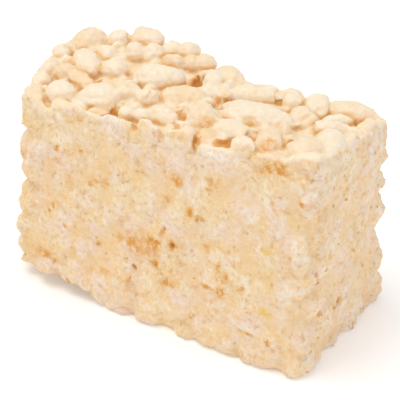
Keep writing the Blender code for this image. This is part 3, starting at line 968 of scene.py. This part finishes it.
def grain_sites(block):
    """The grains inside the block, as in the solid: a jittered lattice, each turned its way."""
    draw = np.random.default_rng(SITE_SEED)
    reach = np.array((block.length / 2, block.foot_width / 2, 0)) + SITE_PITCH * (1, 1, 0)
    counts = np.ceil(np.array((*(2 * reach[:2]), block.height)) / SITE_PITCH).astype(int)
    counts[2] += 1
    steps = np.stack(np.meshgrid(*map(np.arange, counts), indexing="ij"), -1).reshape(-1, 3)
    jitter = draw.uniform(-SITE_JITTER, SITE_JITTER, steps.shape) * SITE_PITCH
    centres = steps * SITE_PITCH + jitter - reach
    angles = draw.uniform(-math.pi, math.pi, steps.shape)
    sizes = draw.uniform(0.8, 1.15, len(steps))
    return centres, turned(angles) / (SITE_HALF * sizes[:, None])[:, None, :]


def nearest_site(points, sites):
    """For each point, the least distance to a grain's middle in that grain's half axes, and
    the number of that grain."""
    flat = points.reshape(-1, 3)
    nearest = np.full(len(flat), 9.0)
    owner = np.zeros(len(flat), int)
    for number, (centre, axes) in enumerate(zip(*sites)):
        close = np.flatnonzero((np.abs(flat - centre) < SITE_REACH).all(-1))
        away = np.linalg.norm((flat[close] - centre) @ axes, axis=-1)
        closer = away < nearest[close]
        nearest[close[closer]] = away[closer]
        owner[close[closer]] = number
    shape = points.shape[:-1]
    return nearest.reshape(shape), owner.reshape(shape)


SITE_REACH = 7 * MM
GIRTH_STEPS = 540
OVERLAP = 1.4 * MM  # how far the mass goes up under the top's piece
NOTCH_FADE = (6 * MM, 1.5 * MM)  # how far from its corner a notch starts to fade in, and is full
UNDER_ROWS, EDGE_ROWS, SIDE_ROWS, RIM_ROWS, TOP_ROWS = 24, 4, 138, 3, 6


def girth(block):
    """The straight block's outline seen from above, as points and outward directions: a
    rectangle with round corners, stepped evenly along its length from the right end's middle,
    so that its front mirrors its back."""
    half = np.array((block.length, block.foot_width)) / 2
    arc = np.linspace(0, np.pi / 2, 24)
    corners = []
    for quarter, way in enumerate(((1, 1), (-1, 1), (-1, -1), (1, -1))):
        angle = arc + quarter * np.pi / 2
        turn = np.stack((np.cos(angle), np.sin(angle)), -1)
        corner = (half - block.corner) * way + block.corner * turn
        corners.append(np.column_stack((corner, angle)))
    start = np.array([(half[0], 0, 0)])
    end = np.array([(half[0], 0, 2 * np.pi)])
    knots = np.concatenate((start, *corners, end))
    run = np.concatenate(([0], np.cumsum(np.hypot(*np.diff(knots[:, :2], axis=0).T))))
    along = np.linspace(0, run[-1], GIRTH_STEPS, endpoint=False)
    x, y, angle = (np.interp(along, run, knots[:, column]) for column in range(3))
    return np.stack((x, y), -1), np.stack((np.cos(angle), np.sin(angle)), -1)


def spine(block, around):
    """The line down the middle that a top or an underside is drawn in to."""
    return np.stack((around[:, 0] * (1 - block.foot_width / block.length), around[:, 1] * 0), -1)


def profile(block):
    """Rows from the underside's middle to the mass's top, as (inward share, edge inset, height,
    outward share): flat, a quarter ellipse, straight up, a quarter ellipse, flat."""
    height = block.height - JOIN + OVERLAP
    under = np.linspace(1, 0, UNDER_ROWS, endpoint=False)
    edge = np.linspace(0, np.pi / 2, EDGE_ROWS + 1)[:-1]
    side = np.linspace(block.foot_rounding, height - block.top_rounding, SIDE_ROWS)
    rim = np.linspace(0, np.pi / 2, RIM_ROWS + 1)[1:]
    top = np.linspace(0, 1, TOP_ROWS + 1)[1:]
    rows = (
        (under, 1, 0, 0),
        (0, 1 - np.sin(edge), block.foot_rounding * (1 - np.cos(edge)), np.sin(edge)),
        (0, 0, side, 1),
        (0, 1 - np.cos(rim), height - block.top_rounding * (1 - np.sin(rim)), np.cos(rim)),
        (top, 1, height, 0),
    )
    return np.concatenate([np.stack(np.broadcast_arrays(*row), -1) for row in rows])


def spread(spots, points):
    """Strength of the spots at points: bell curves on their side of the block."""
    x, y, z = np.moveaxis(points, -1, 0) / MM
    sides = {
        FRONT: (x, z, smooth_step(-7, -10, y)),
        RIGHT: (y, z, smooth_step(22, 24, x)),
        TOP: (x, y, smooth_step(26, 28, z)),
    }
    total = np.zeros(points.shape[:-1])
    for side, rows in spots.items():
        along, up, facing = sides[side]
        for middle, height, reach_along, reach_up, strength in rows:
            away = ((along - middle) / reach_along) ** 2 + ((up - height) / reach_up) ** 2
            total = np.maximum(total, strength * np.exp(-away) * facing)
    return total


def notched(block, points):
    """How deep the notches are at points: bell curves up a corner, which fade away from it."""
    x, y, z = np.moveaxis(points, -1, 0)
    total = np.zeros(points.shape[:-1])
    for way, up, reach, depth in NOTCHES:
        away = (block.length + block.foot_width) / 2 - way * (x + y)
        bell = np.exp(-(((z / MM - up) / reach) ** 2)) * smooth_step(*NOTCH_FADE, away)
        total += depth * MM * bell
    return total


def crumbs_at(cut, points):
    """How far coarse and fine crumbs stand out at points, as shares, and draws for their
    tone: the middles of jittered cells stand highest."""
    close, second, draw = cells_at(points, np.array((1.15, 1.0, 0.85)) * cut.crumb, 21)
    fine_close, _, fine_draw = cells_at(points, cut.fine, 33)
    crumb = 0.5 - close**2 + 0.5 * smooth_step(0.0, 0.3, second - close)
    return crumb, 0.5 - fine_close**2 * 1.3, 0.65 * draw + 0.35 * fine_draw


# Where the cuts are broken more: from this far inside the corners, and from this far up
CORNER_BREAK, FOOT_BREAK = (-4.5 * MM, -1.0 * MM), (4.0 * MM, 0.5 * MM)
SHAKE, SHAKE_SIZE = 0.5 * MM, 1.0 * MM  # how far and how finely spots' outlines are shaken
PIT_PITCH = 2.1 * MM
LIFT_SPAN = (-7.5 * MM, -11.5 * MM)  # places along X between which the underside lifts off
HIDDEN = 0.7 * MM  # how far the mass's top is drawn in under the top's piece


def mass(block, cut):
    """The pressed mass as points (row, step, xyz) and what its surface shows there.

    The straight block's sides move in and out by the relief: in between grains, out over
    them, coarse and fine crumbs, slow waves, pits and notches. It is then skewed. The mass's
    top is plain and a little drawn in, for the grains' piece covers it.
    """
    around, outward = girth(block)
    inward, inset, height, sideways = profile(block).T[..., None]
    edge = around[None] - outward[None] * (inset * block.rounding)[..., None]
    flat = between(edge, spine(block, around)[None], inward[..., None])
    straight = np.concatenate((flat, np.broadcast_to(height, flat.shape[:2])[..., None]), -1)
    under = np.broadcast_to((sideways == 0) & (height == 0), flat.shape[:2])

    nearest, owner = nearest_site(straight, grain_sites(block))
    gap = smooth_step(0.6, 1.5, nearest)
    past = np.abs(straight[..., :2]) - np.array((block.length, block.foot_width)) / 2
    broken = smooth_step(*CORNER_BREAK, past).prod(-1)
    broken = np.maximum(broken, smooth_step(*FOOT_BREAK, straight[..., 2]))
    below = smooth_step(JOIN - 0.3 * MM, JOIN + 1.5 * MM, block.height - straight[..., 2])
    crumb, fine, draw = crumbs_at(cut, straight)
    shaken = [layered(straight, SHAKE_SIZE, 71 + axis, 2) for axis in range(3)]
    torn = straight + SHAKE * np.stack(shaken, -1)
    pit_close, _, pit_draw = cells_at(torn, PIT_PITCH, 61)
    pits = 0.5 * smooth_step(0.3, 0.06, pit_close) * smooth_step(0.05, 0.02, pit_draw)
    pits = np.maximum(pits, spread(PITS, torn))
    relief = (
        (cut.stand - cut.gap * gap) * between(cut.flatness, 1, broken) * below
        + cut.crumb_relief * crumb * between(0.6, 1.3, broken)
        + cut.fine_relief * fine
        + cut.wave_relief * layered(straight, cut.wave, 51) * below
        - cut.pit * pits
        - notched(block, straight)
    )
    points = straight.copy()
    points[..., :2] += outward[None] * (sideways**0.7 * relief)[..., None]
    pressed = cut.pressed * smooth_step(0.7, 1.4, nearest) + 0.35 * MM * np.clip(-fine, 0, 1)
    points[..., 2] += np.where(under, pressed * smooth_step(0, 0.05, inward), 0)
    points = skewed(block, points)

    x, y, z = np.moveaxis(points, -1, 0)
    level = top_height(block, x, y)
    share = z / block.height
    z = share * level
    z = z + block.lift * smooth_step(*LIFT_SPAN, x) * (1 - share) ** 3
    points = np.stack((x, y, np.maximum(z, 0)), -1)
    hidden = HIDDEN * smooth_step(JOIN - 0.4 * MM, JOIN - 1.1 * MM, level - z)
    points[..., :2] -= outward[None] * (hidden * sideways**0.3)[..., None]

    owner_draw = hashed(np.stack((owner, owner * 3, owner * 7), -1), 5)
    shows = {
        # depth lays honey in the gaps between the grains, where marshmallow binds them, and
        # painted shade in the crumbs' recesses
        "depth": 0.35 * gap * below + 0.15 * np.clip(-crumb, 0, 1),
        "tone": between(owner_draw, draw, 0.55),
        "toast": spread(TOASTED, torn),
        "butter": spread(BUTTERY, torn),
        "pit": pits,
        "pale": spread(PALE, torn),
    }
    return points, shows


CRUMB_RINGS, CRUMB_TURNS = 5, 6
SMALL_CRUMB, LARGE_CRUMB = 0.12 * MM, 0.42 * MM


def clinging_crumbs(places, draw):
    """Small torn crumbs as points (crumb, ring, turn, xyz): balls of unlike half axes, each
    point of which is pulled in or out, turned at random and pressed into the cut."""
    count = len(places)
    t = np.linspace(0, np.pi, CRUMB_RINGS)[:, None]
    a = np.linspace(0, 2 * np.pi, CRUMB_TURNS, endpoint=False)[None, :]
    ball = np.stack((np.cos(t) + 0 * a, np.sin(t) * np.cos(a), np.sin(t) * np.sin(a)), -1)
    radius = between(SMALL_CRUMB, LARGE_CRUMB, draw.random(count) ** 3.0)[:, None]
    half = radius * draw.uniform((0.9, 0.6, 0.3), (1.9, 1.1, 0.7), (count, 3))
    torn = 1 + draw.uniform(-0.3, 0.3, (count, CRUMB_RINGS, CRUMB_TURNS))
    torn[:, [0, -1]] = 1
    points = ball * torn[..., None] * half[:, None, None, :]
    turns = turned(draw.uniform(-math.pi, math.pi, (count, 3)))
    points = np.einsum("crtj,cij->crti", points, turns)
    points += places[:, None, None, :]
    points[..., 2] = np.maximum(points[..., 2], 0)
    return points


# Meshes


def wrapped_faces(rings, turns, count=1):
    """Quads of tubes whose rings close on themselves, for `count` tubes laid one after another."""
    ring, turn = np.meshgrid(np.arange(rings - 1), np.arange(turns), indexing="ij")
    after = (turn + 1) % turns
    corners = ((ring, turn), (ring, after), (ring + 1, after), (ring + 1, turn))
    quads = np.stack([row * turns + step for row, step in corners], -1).reshape(-1, 4)
    starts = np.arange(count)[:, None, None] * rings * turns
    return (quads[None] + starts).reshape(-1, 4)


def mesh_object(name, points, faces, shows, material, block, weld=WELD):
    """A shown piece: its points and faces in a mesh, poles and seams welded, faces out, smooth,
    with what its surface shows as attributes."""
    shift = np.array((block.across, block.back, 0))
    flat = points.reshape(-1, 3) + shift
    mesh = bpy.data.meshes.new(name)
    mesh.from_pydata(flat, [], faces.tolist())
    for key, values in shows.items():
        layer = mesh.attributes.new(key, "FLOAT", "POINT")
        layer.data.foreach_set("value", np.ascontiguousarray(values, np.float32).ravel())
    shape = bmesh.new()
    shape.from_mesh(mesh)
    bmesh.ops.remove_doubles(shape, verts=shape.verts, dist=weld)
    bmesh.ops.recalc_face_normals(shape, faces=shape.faces)
    shape.to_mesh(mesh)
    shape.free()
    mesh.shade_smooth()
    mesh.materials.append(material)
    piece = bpy.data.objects.new(name, mesh)
    bpy.context.scene.collection.objects.link(piece)
    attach(piece, "root")
    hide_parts(NODE)
    return piece


# Materials

SMOOTH = {"interpolation_type": "SMOOTHSTEP"}
# A Mix node's sockets: its share, the two values and the two colours that it can mix
SHARE, VALUE, OTHER_VALUE, COLOUR, OTHER_COLOUR = 0, 2, 3, 6, 7
MIXED_COLOUR = 2


def feed(node, sockets):
    """Feeds a node's sockets, in order or by name or number, with values or other nodes'
    outputs."""
    for socket, value in sockets.items() if isinstance(sockets, dict) else enumerate(sockets):
        if isinstance(value, bpy.types.NodeSocket):
            node.id_data.links.new(value, node.inputs[socket])
        else:
            node.inputs[socket].default_value = value


def add_node(tree, kind, sockets=(), output=0, **settings):
    """Adds a node with its settings, feeds its sockets and returns one of its outputs."""
    node = tree.nodes.new("ShaderNode" + kind)
    for name, value in settings.items():
        setattr(node, name, value)
    feed(node, sockets)
    return node.outputs[output]


def product(add, *factors):
    """The product of values, outputs and smooth steps, which are (source, low, high) and, where
    they don't run from 0 to 1, the values at low and at high."""
    made = [add("MapRange", one, **SMOOTH) if isinstance(one, tuple) else one for one in factors]
    return reduce(lambda one, other: add("Math", (one, other), operation="MULTIPLY"), made)


def laid_over(add, base, *layers):
    """Lays colours over a base, one after another, each as the colour and the factors of its
    share."""
    for over, *factors in layers:
        sockets = {SHARE: product(add, *factors), COLOUR: base, OTHER_COLOUR: over}
        base = add("Mix", sockets, MIXED_COLOUR, data_type="RGBA")
    return base


def start_material(name):
    made = bpy.data.materials.new(name)
    made.use_nodes = True
    add = partial(add_node, made.node_tree)
    return made, add, add("TexCoord", output="Object")


def finish_material(made, base, rough, height, bump, more=()):
    """Feeds the shader: the height, `bump` deep, gives its bumps. Sugar and starch have an IOR
    of about 1.45."""
    sockets = {"Height": height, "Distance": bump, "Strength": 0.5}
    normal = add_node(made.node_tree, "Bump", sockets)
    shader = made.node_tree.nodes["Principled BSDF"]
    feed(shader, {"Base Color": base, "Roughness": rough, "Normal": normal, "IOR": 1.45})
    feed(shader, dict(more))
    return made


def cut_look(add, place, finish):
    """Colour, roughness and height of puffed rice and marshmallow cut by a knife: crushed foam
    is pale and dull, white where a grain's heart shows, with torn tan shells as short strokes
    and dots, and small wet glints. The place is moved about by noise, so that cells get
    uneven edges."""
    stir = 1.4 * MM
    shift = add("TexNoise", {"Vector": place, "Scale": 1 / stir, "Detail": 2.0}, "Color")
    centred = add("VectorMath", (shift, (0.5, 0.5, 0.5)), operation="SUBTRACT")
    uneven = add("VectorMath", (centred, (stir, stir, stir), place), operation="MULTIPLY_ADD")
    # Noise widths in mm: a grain is 4 wide, its crushed foam comes in lumps of 1 to 3, and a
    # bubble of the foam is drawn at 0.4, coarser than it is, so that it shows
    wide, coarse, warm, middle, patchy, crumbly, fine, fuzz, speck = (
        add(
            "TexNoise",
            {"Vector": at, "Scale": 1 / (size * MM), "Detail": detail, "Roughness": mixed},
        )
        for at, size, detail, mixed in (
            (place, 5.0, 3, 0.55),
            (uneven, 3.4, 3, 0.55),
            (uneven, 2.6, 4, 0.6),
            (uneven, 2.2, 2, 0.55),
            (place, 1.2, 1, 0.55),
            (uneven, 1.0, 5, 0.7),
            (place, 0.8, 3, 0.55),
            (place, 0.62, 4, 0.75),
            (place, 0.4, 1, 0.55),
        )
    )
    tone, pale, toasted, pit = (
        add("Attribute", (), "Fac", attribute_name=name)
        for name in ("tone", "pale", "toast", "pit")
    )
    sockets = {"Vector": uneven, "Scale": 1 / (2.3 * MM)}
    edges = add("TexVoronoi", sockets, "Distance", feature="DISTANCE_TO_EDGE")
    cells = add("TexVoronoi", {"Vector": uneven, "Scale": 1 / (1.1 * MM)}, "Distance")
    picked = add("SeparateColor", (cells.node.outputs["Color"],))

    share = add("Mix", {SHARE: 0.65, VALUE: tone, OTHER_VALUE: coarse})
    heart = add("Math", (product(add, (middle, 0.54, 0.7, 0.0, 0.65)), pale), operation="MAXIMUM")
    toast = product(add, toasted, (crumbly, 0.36, 0.64, 0.3, 1.4))
    strokes = product(add, (edges, 0.14, 0.0), (patchy, 0.58, 0.7))
    dots = product(add, (cells, 0.3, 0.08), (picked, 0.12, 0.05))
    base = laid_over(
        add,
        finish.blush,
        (finish.foam, (wide, 0.38, 0.62)),
        (finish.cream, (share, 0.26, 0.62, 0.8, 0.0)),
        (finish.white, heart, (fine, 0.3, 0.6, 0.5, 1.0)),
        (finish.tan, (middle, 0.44, 0.28), (fine, 0.35, 0.6, 0.1, 0.55)),
        (finish.honey, (warm, 0.46, 0.64, 0.0, 0.75)),
        (finish.white, (fuzz, 0.52, 0.64, 0.0, 0.5)),
        (finish.tan, (fuzz, 0.47, 0.34, 0.0, 0.45)),
        (finish.tan, (toast, 0.0, 0.9)),
        (finish.caramel, (toast, 0.5, 1.2, 0.0, 0.8)),
        (finish.caramel, strokes, 0.4),
        (finish.caramel, dots, 0.5),
        # The pits turn caramel, then deep brown towards their middles: partly torn toasted shell,
        # partly painted shade down in the pits
        (finish.caramel, (pit, 0.2, 0.6, 0.0, 0.85)),
        (finish.deep, (pit, 0.6, 1.0, 0.0, 0.9)),
    )
    rough = product(add, (speck, 0.62, 0.7, 0.8, 0.42))
    height = add("Math", (fuzz, 0.8, fine), operation="MULTIPLY_ADD")
    marks = add("Math", (strokes, dots), operation="MAXIMUM")
    return base, rough, add("Math", (marks, -0.5, height), operation="MULTIPLY_ADD")


def coat_look(add, place, finish):
    """Colour, roughness and height of whole puffed rice in a thin coat of marshmallow, pressed
    and set: satin and waxy, pale on the crowns, and honey, tan and at last caramel where the
    coat has run down between the grains and in the holes, with painted shade that deepens with
    how closely the skin closes over a place and how far down a hole's wall goes."""
    # Noise widths in mm: a coat pools over half a grain, and its wrinkles are drawn at 0.7
    soft, dry, fine = (
        add(
            "TexNoise",
            {"Vector": place, "Scale": 1 / (size * MM), "Detail": detail, "Roughness": mixed},
        )
        for size, detail, mixed in ((2.4, 3, 0.55), (1.3, 3, 0.55), (0.7, 4, 0.65))
    )
    tone, depth, toasted, holes = (
        add("Attribute", (), "Fac", attribute_name=name)
        for name in ("tone", "depth", "toast", "hole_toast_and_shade")
    )
    share = add("Mix", {SHARE: 0.4, VALUE: tone, OTHER_VALUE: soft})
    toast = product(add, toasted, (fine, 0.36, 0.62, 0.5, 1.2))
    base = laid_over(
        add,
        finish.grain_warm,
        (finish.grain_pale, (share, 0.2, 0.75)),
        (finish.cream, (fine, 0.54, 0.72, 0.0, 0.5)),
        (finish.white, (fine, 0.46, 0.3, 0.0, 0.5)),
        (finish.white, (dry, 0.55, 0.7, 0.0, 0.4)),
        # These layers are laid where the skin closes over the valleys and down the holes' walls:
        # partly marshmallow run down and toasted, partly painted shade that deepens further down
        (finish.amber_and_valley_shade, (depth, 0.15, 1.0, 0.0, 0.85)),
        (finish.tan, (depth, 0.55, 1.0, 0.0, 0.4)),
        (finish.tan, (toast, 0.0, 0.9)),
        (finish.tan, (holes, 0.12, 0.5, 0.0, 0.8)),
        (finish.caramel, (holes, 0.45, 1.0, 0.0, 0.8)),
        (finish.deep, (holes, 0.75, 1.05, 0.0, 0.4)),
    )
    rough = product(add, (soft, 0.3, 0.7, 0.36, 0.52))
    return base, rough, add("Math", (soft, 0.5, fine), operation="MULTIPLY_ADD")


def cut_rice(finish):
    """Puffed rice and marshmallow, pressed and knife-cut: the sides of the mass, with honey in
    the gaps between the grains, and painted shade in the crumbs' recesses."""
    made, add, place = start_material("puffed_rice_knife_cut")
    base, rough, height = cut_look(add, place, finish)
    gaps, butter = (
        add("Attribute", (), "Fac", attribute_name=name) for name in ("depth", "butter")
    )
    # Honey by depth: marshmallow in the gaps between the grains, painted shade in the crumbs'
    # recesses
    base = laid_over(
        add, base, (finish.honey, (gaps, 0.1, 0.5, 0.0, 0.7)), (finish.butter, butter)
    )
    return finish_material(made, base, rough, height, 0.3 * MM)


def whole_rice(finish):
    """Whole puffed rice coated with marshmallow: the top's grains, which let a little light
    through, and show the cut look where the knife went through them."""
    made, add, place = start_material("puffed_rice_whole_coated")
    cut, butter = (add("Attribute", (), "Fac", attribute_name=name) for name in ("cut", "butter"))
    coated, cut_through = (look(add, place, finish) for look in (coat_look, cut_look))
    base = laid_over(add, coated[0], (cut_through[0], cut), (finish.butter, butter))
    rough, height = (
        add("Mix", {SHARE: cut, VALUE: one, OTHER_VALUE: other})
        for one, other in zip(coated[1:], cut_through[1:])
    )
    soaked = {
        "Subsurface Weight": product(add, (cut, 0.0, 0.9, 0.45, 0.0)),
        "Subsurface Radius": (1.0, 0.55, 0.28),
        "Subsurface Scale": 0.9 * MM,
    }
    return finish_material(made, base, rough, height, 0.3 * MM, soaked)


def torn_rice(finish):
    """Crumbs of puffed rice torn off by the knife: dull, white to tan."""
    made, add, place = start_material("puffed_rice_torn_crumb")
    sockets = {"Vector": place, "Scale": 1 / (0.4 * MM), "Detail": 2, "Roughness": 0.55}
    fine = add("TexNoise", sockets)
    tone = add("Attribute", (), "Fac", attribute_name="tone")
    base = laid_over(
        add,
        finish.foam,
        (finish.cream, (tone, 0.0, 0.6)),
        (finish.tan, (tone, 0.8, 0.9)),
        (finish.cream, (fine, 0.5, 0.7, 0.0, 0.4)),
    )
    rough = product(add, (fine, 0.3, 0.7, 0.6, 0.8))
    return finish_material(made, base, rough, fine, 0.15 * MM)


def pale_floor(finish):
    """A sheet of matt white paper: hardly any sheen or unevenness, and a little light of its
    own, so that it shows as white as in the photograph."""
    made, add, place = start_material("paper_white_matt")
    sockets = {"Vector": place, "Scale": 1 / (6 * MM), "Detail": 2, "Roughness": 0.55}
    white = (1.0, 1.0, 1.0, 1.0)
    base = laid_over(add, finish.floor, (white, add("TexNoise", sockets), 0.02))
    sheen = {"Roughness": 0.9, "Specular IOR Level": 0.1}
    glow = {"Emission Color": white, "Emission Strength": 0.12}
    feed(made.node_tree.nodes["Principled BSDF"], {"Base Color": base} | sheen | glow)
    return made


# Operators

FLOOR_REACH = 3.0
WORLD_STRENGTH = 0.74
# The lamps: name, place and size in metres, power in watts, and colour
LAMPS = (
    ("key", (-0.12, -0.10, 0.50), 0.30, 1.0, (1.0, 0.98, 0.95)),
    ("fill", (0.50, -0.05, 0.20), 0.40, 0.45, (0.42, 0.56, 1.0)),
)
# The camera: what it is aimed at in mm, its angles round and over that, how far off it is, and
# its focal length in mm
AIM = (1.7, -0.5, 14.7)
AZIMUTH, ELEVATION = math.radians(32.4), math.radians(30.0)
DISTANCE, FOCAL_LENGTH = 156.8 * MM, 99.0


def part_settings(context):
    return context.scene.marshmallow_square


class SWEETS_OT_cut_mass(Operator):
    """Builds the pressed mass: four knife-cut sides and the pressed underside"""

    bl_idname = "sweets.cut_mass"
    bl_label = "Cut mass"

    def execute(self, context):
        part = part_settings(context)
        points, shows = mass(part.block, part.cut)
        faces = wrapped_faces(len(points), GIRTH_STEPS)
        mesh_object("cut_mass", points, faces, shows, cut_rice(part.finish), part.block)
        return {"FINISHED"}


class SWEETS_OT_whole_grains(Operator):
    """Builds the whole grains of the top, fused by the marshmallow into one skin"""

    bl_idname = "sweets.whole_grains"
    bl_label = "Whole grains"

    def execute(self, context):
        part = part_settings(context)
        points, faces, shows = coated_top(part.block, part.grains, part.cut)
        mesh_object("top_grains", points, faces, shows, whole_rice(part.finish), part.block)
        return {"FINISHED"}


class SWEETS_OT_crumbs(Operator):
    """Builds the small torn crumbs that cling to the cut sides"""

    bl_idname = "sweets.crumbs"
    bl_label = "Crumbs"

    def execute(self, context):
        part = part_settings(context)
        cut = bpy.data.objects.get("cut_mass")
        if cut is None:
            raise RuntimeError("Build the cut mass first")
        places, normals = np.empty((2, len(cut.data.vertices), 3))
        cut.data.vertices.foreach_get("co", places.reshape(-1))
        cut.data.vertex_normals.foreach_get("vector", normals.reshape(-1))
        draw = np.random.default_rng(CRUMB_SEED)
        top = part.block.height - JOIN - 0.5 * MM
        sides = (np.abs(normals[:, 2]) < 0.7) & (places[:, 2] < top)
        chosen = draw.choice(np.flatnonzero(sides), part.cut.loose, replace=False)
        shift = np.array((part.block.across, part.block.back, 0))
        points = clinging_crumbs(places[chosen] - shift, draw)
        faces = wrapped_faces(CRUMB_RINGS, CRUMB_TURNS, len(points))
        shows = {"tone": np.broadcast_to(draw.random((len(points), 1, 1)), points.shape[:-1])}
        material = torn_rice(part.finish)
        mesh_object("crumbs", points, faces, shows, material, part.block, CRUMB_WELD)
        return {"FINISHED"}


class SWEETS_OT_stage(Operator):
    """Sets the plain floor, the soft light and the camera at the photograph's angle"""

    bl_idname = "sweets.stage"
    bl_label = "Stage"

    def execute(self, context):
        scene = context.scene
        mesh = bpy.data.meshes.new("floor")
        corners = np.array([(-1, -1, 0), (1, -1, 0), (1, 1, 0), (-1, 1, 0)]) * FLOOR_REACH
        mesh.from_pydata(corners, [], [(0, 1, 2, 3)])
        mesh.materials.append(pale_floor(part_settings(context).finish))
        floor = bpy.data.objects.new("floor", mesh)
        scene.collection.objects.link(floor)

        world = scene.world or bpy.data.worlds.new("studio")
        scene.world = world
        world.use_nodes = True
        background = world.node_tree.nodes["Background"]
        feed(background, {"Color": (1.0, 1.0, 1.0, 1.0), "Strength": WORLD_STRENGTH})

        aim = Vector(AIM) * MM
        for name, place, size, power, tint in LAMPS:
            lamp = bpy.data.lights.new(name, "AREA")
            lamp.color = tint
            lamp.size = size
            lamp.energy = power
            lit = bpy.data.objects.new(name, lamp)
            lit.location = place
            lit.rotation_euler = (aim - lit.location).to_track_quat("-Z", "Y").to_euler()
            scene.collection.objects.link(lit)

        lens = bpy.data.cameras.new("camera")
        lens.lens = FOCAL_LENGTH
        lens.sensor_width = 36.0
        lens.clip_start = 0.01
        flat, rise = math.cos(ELEVATION), math.sin(ELEVATION)
        back = Vector((math.sin(AZIMUTH) * flat, -math.cos(AZIMUTH) * flat, rise))
        camera = bpy.data.objects.new("camera", lens)
        camera.location = aim + back * DISTANCE
        camera.rotation_euler = (-back).to_track_quat("-Z", "Y").to_euler()
        scene.collection.objects.link(camera)
        scene.camera = camera
        scene.view_settings.view_transform = "Standard"
        return {"FINISHED"}


class SWEETS_PT_marshmallow_square(Panel):
    """Lists the pieces and their sizes"""

    bl_idname = "SWEETS_PT_marshmallow_square"
    bl_label = "Marshmallow square"
    bl_space_type = "VIEW_3D"
    bl_region_type = "UI"
    bl_category = "Sweets"

    def draw(self, context):
        part = part_settings(context)
        for operator in OPERATORS:
            self.layout.operator(operator.bl_idname)
        for group in (part.block, part.grains, part.cut, part.finish):
            box = self.layout.box()
            for name in group.bl_rna.properties.keys():
                if name not in ("rna_type", "name"):
                    box.prop(group, name)


OPERATORS = (SWEETS_OT_cut_mass, SWEETS_OT_whole_grains, SWEETS_OT_crumbs, SWEETS_OT_stage)
GROUPS = (BlockSizes, GrainSizes, CutSizes, Finish, MarshmallowSquare)


def register():
    for made in (*GROUPS, *OPERATORS, SWEETS_PT_marshmallow_square):
        bpy.utils.register_class(made)
    bpy.types.Scene.marshmallow_square = PointerProperty(type=MarshmallowSquare)


def unregister():
    del bpy.types.Scene.marshmallow_square
    for made in reversed((*GROUPS, *OPERATORS, SWEETS_PT_marshmallow_square)):
        bpy.utils.unregister_class(made)


def main():
    register()
    bpy.ops.sweets.cut_mass()
    bpy.ops.sweets.whole_grains()
    bpy.ops.sweets.crumbs()
    bpy.ops.sweets.stage()


if __name__ == "__main__":
    main()
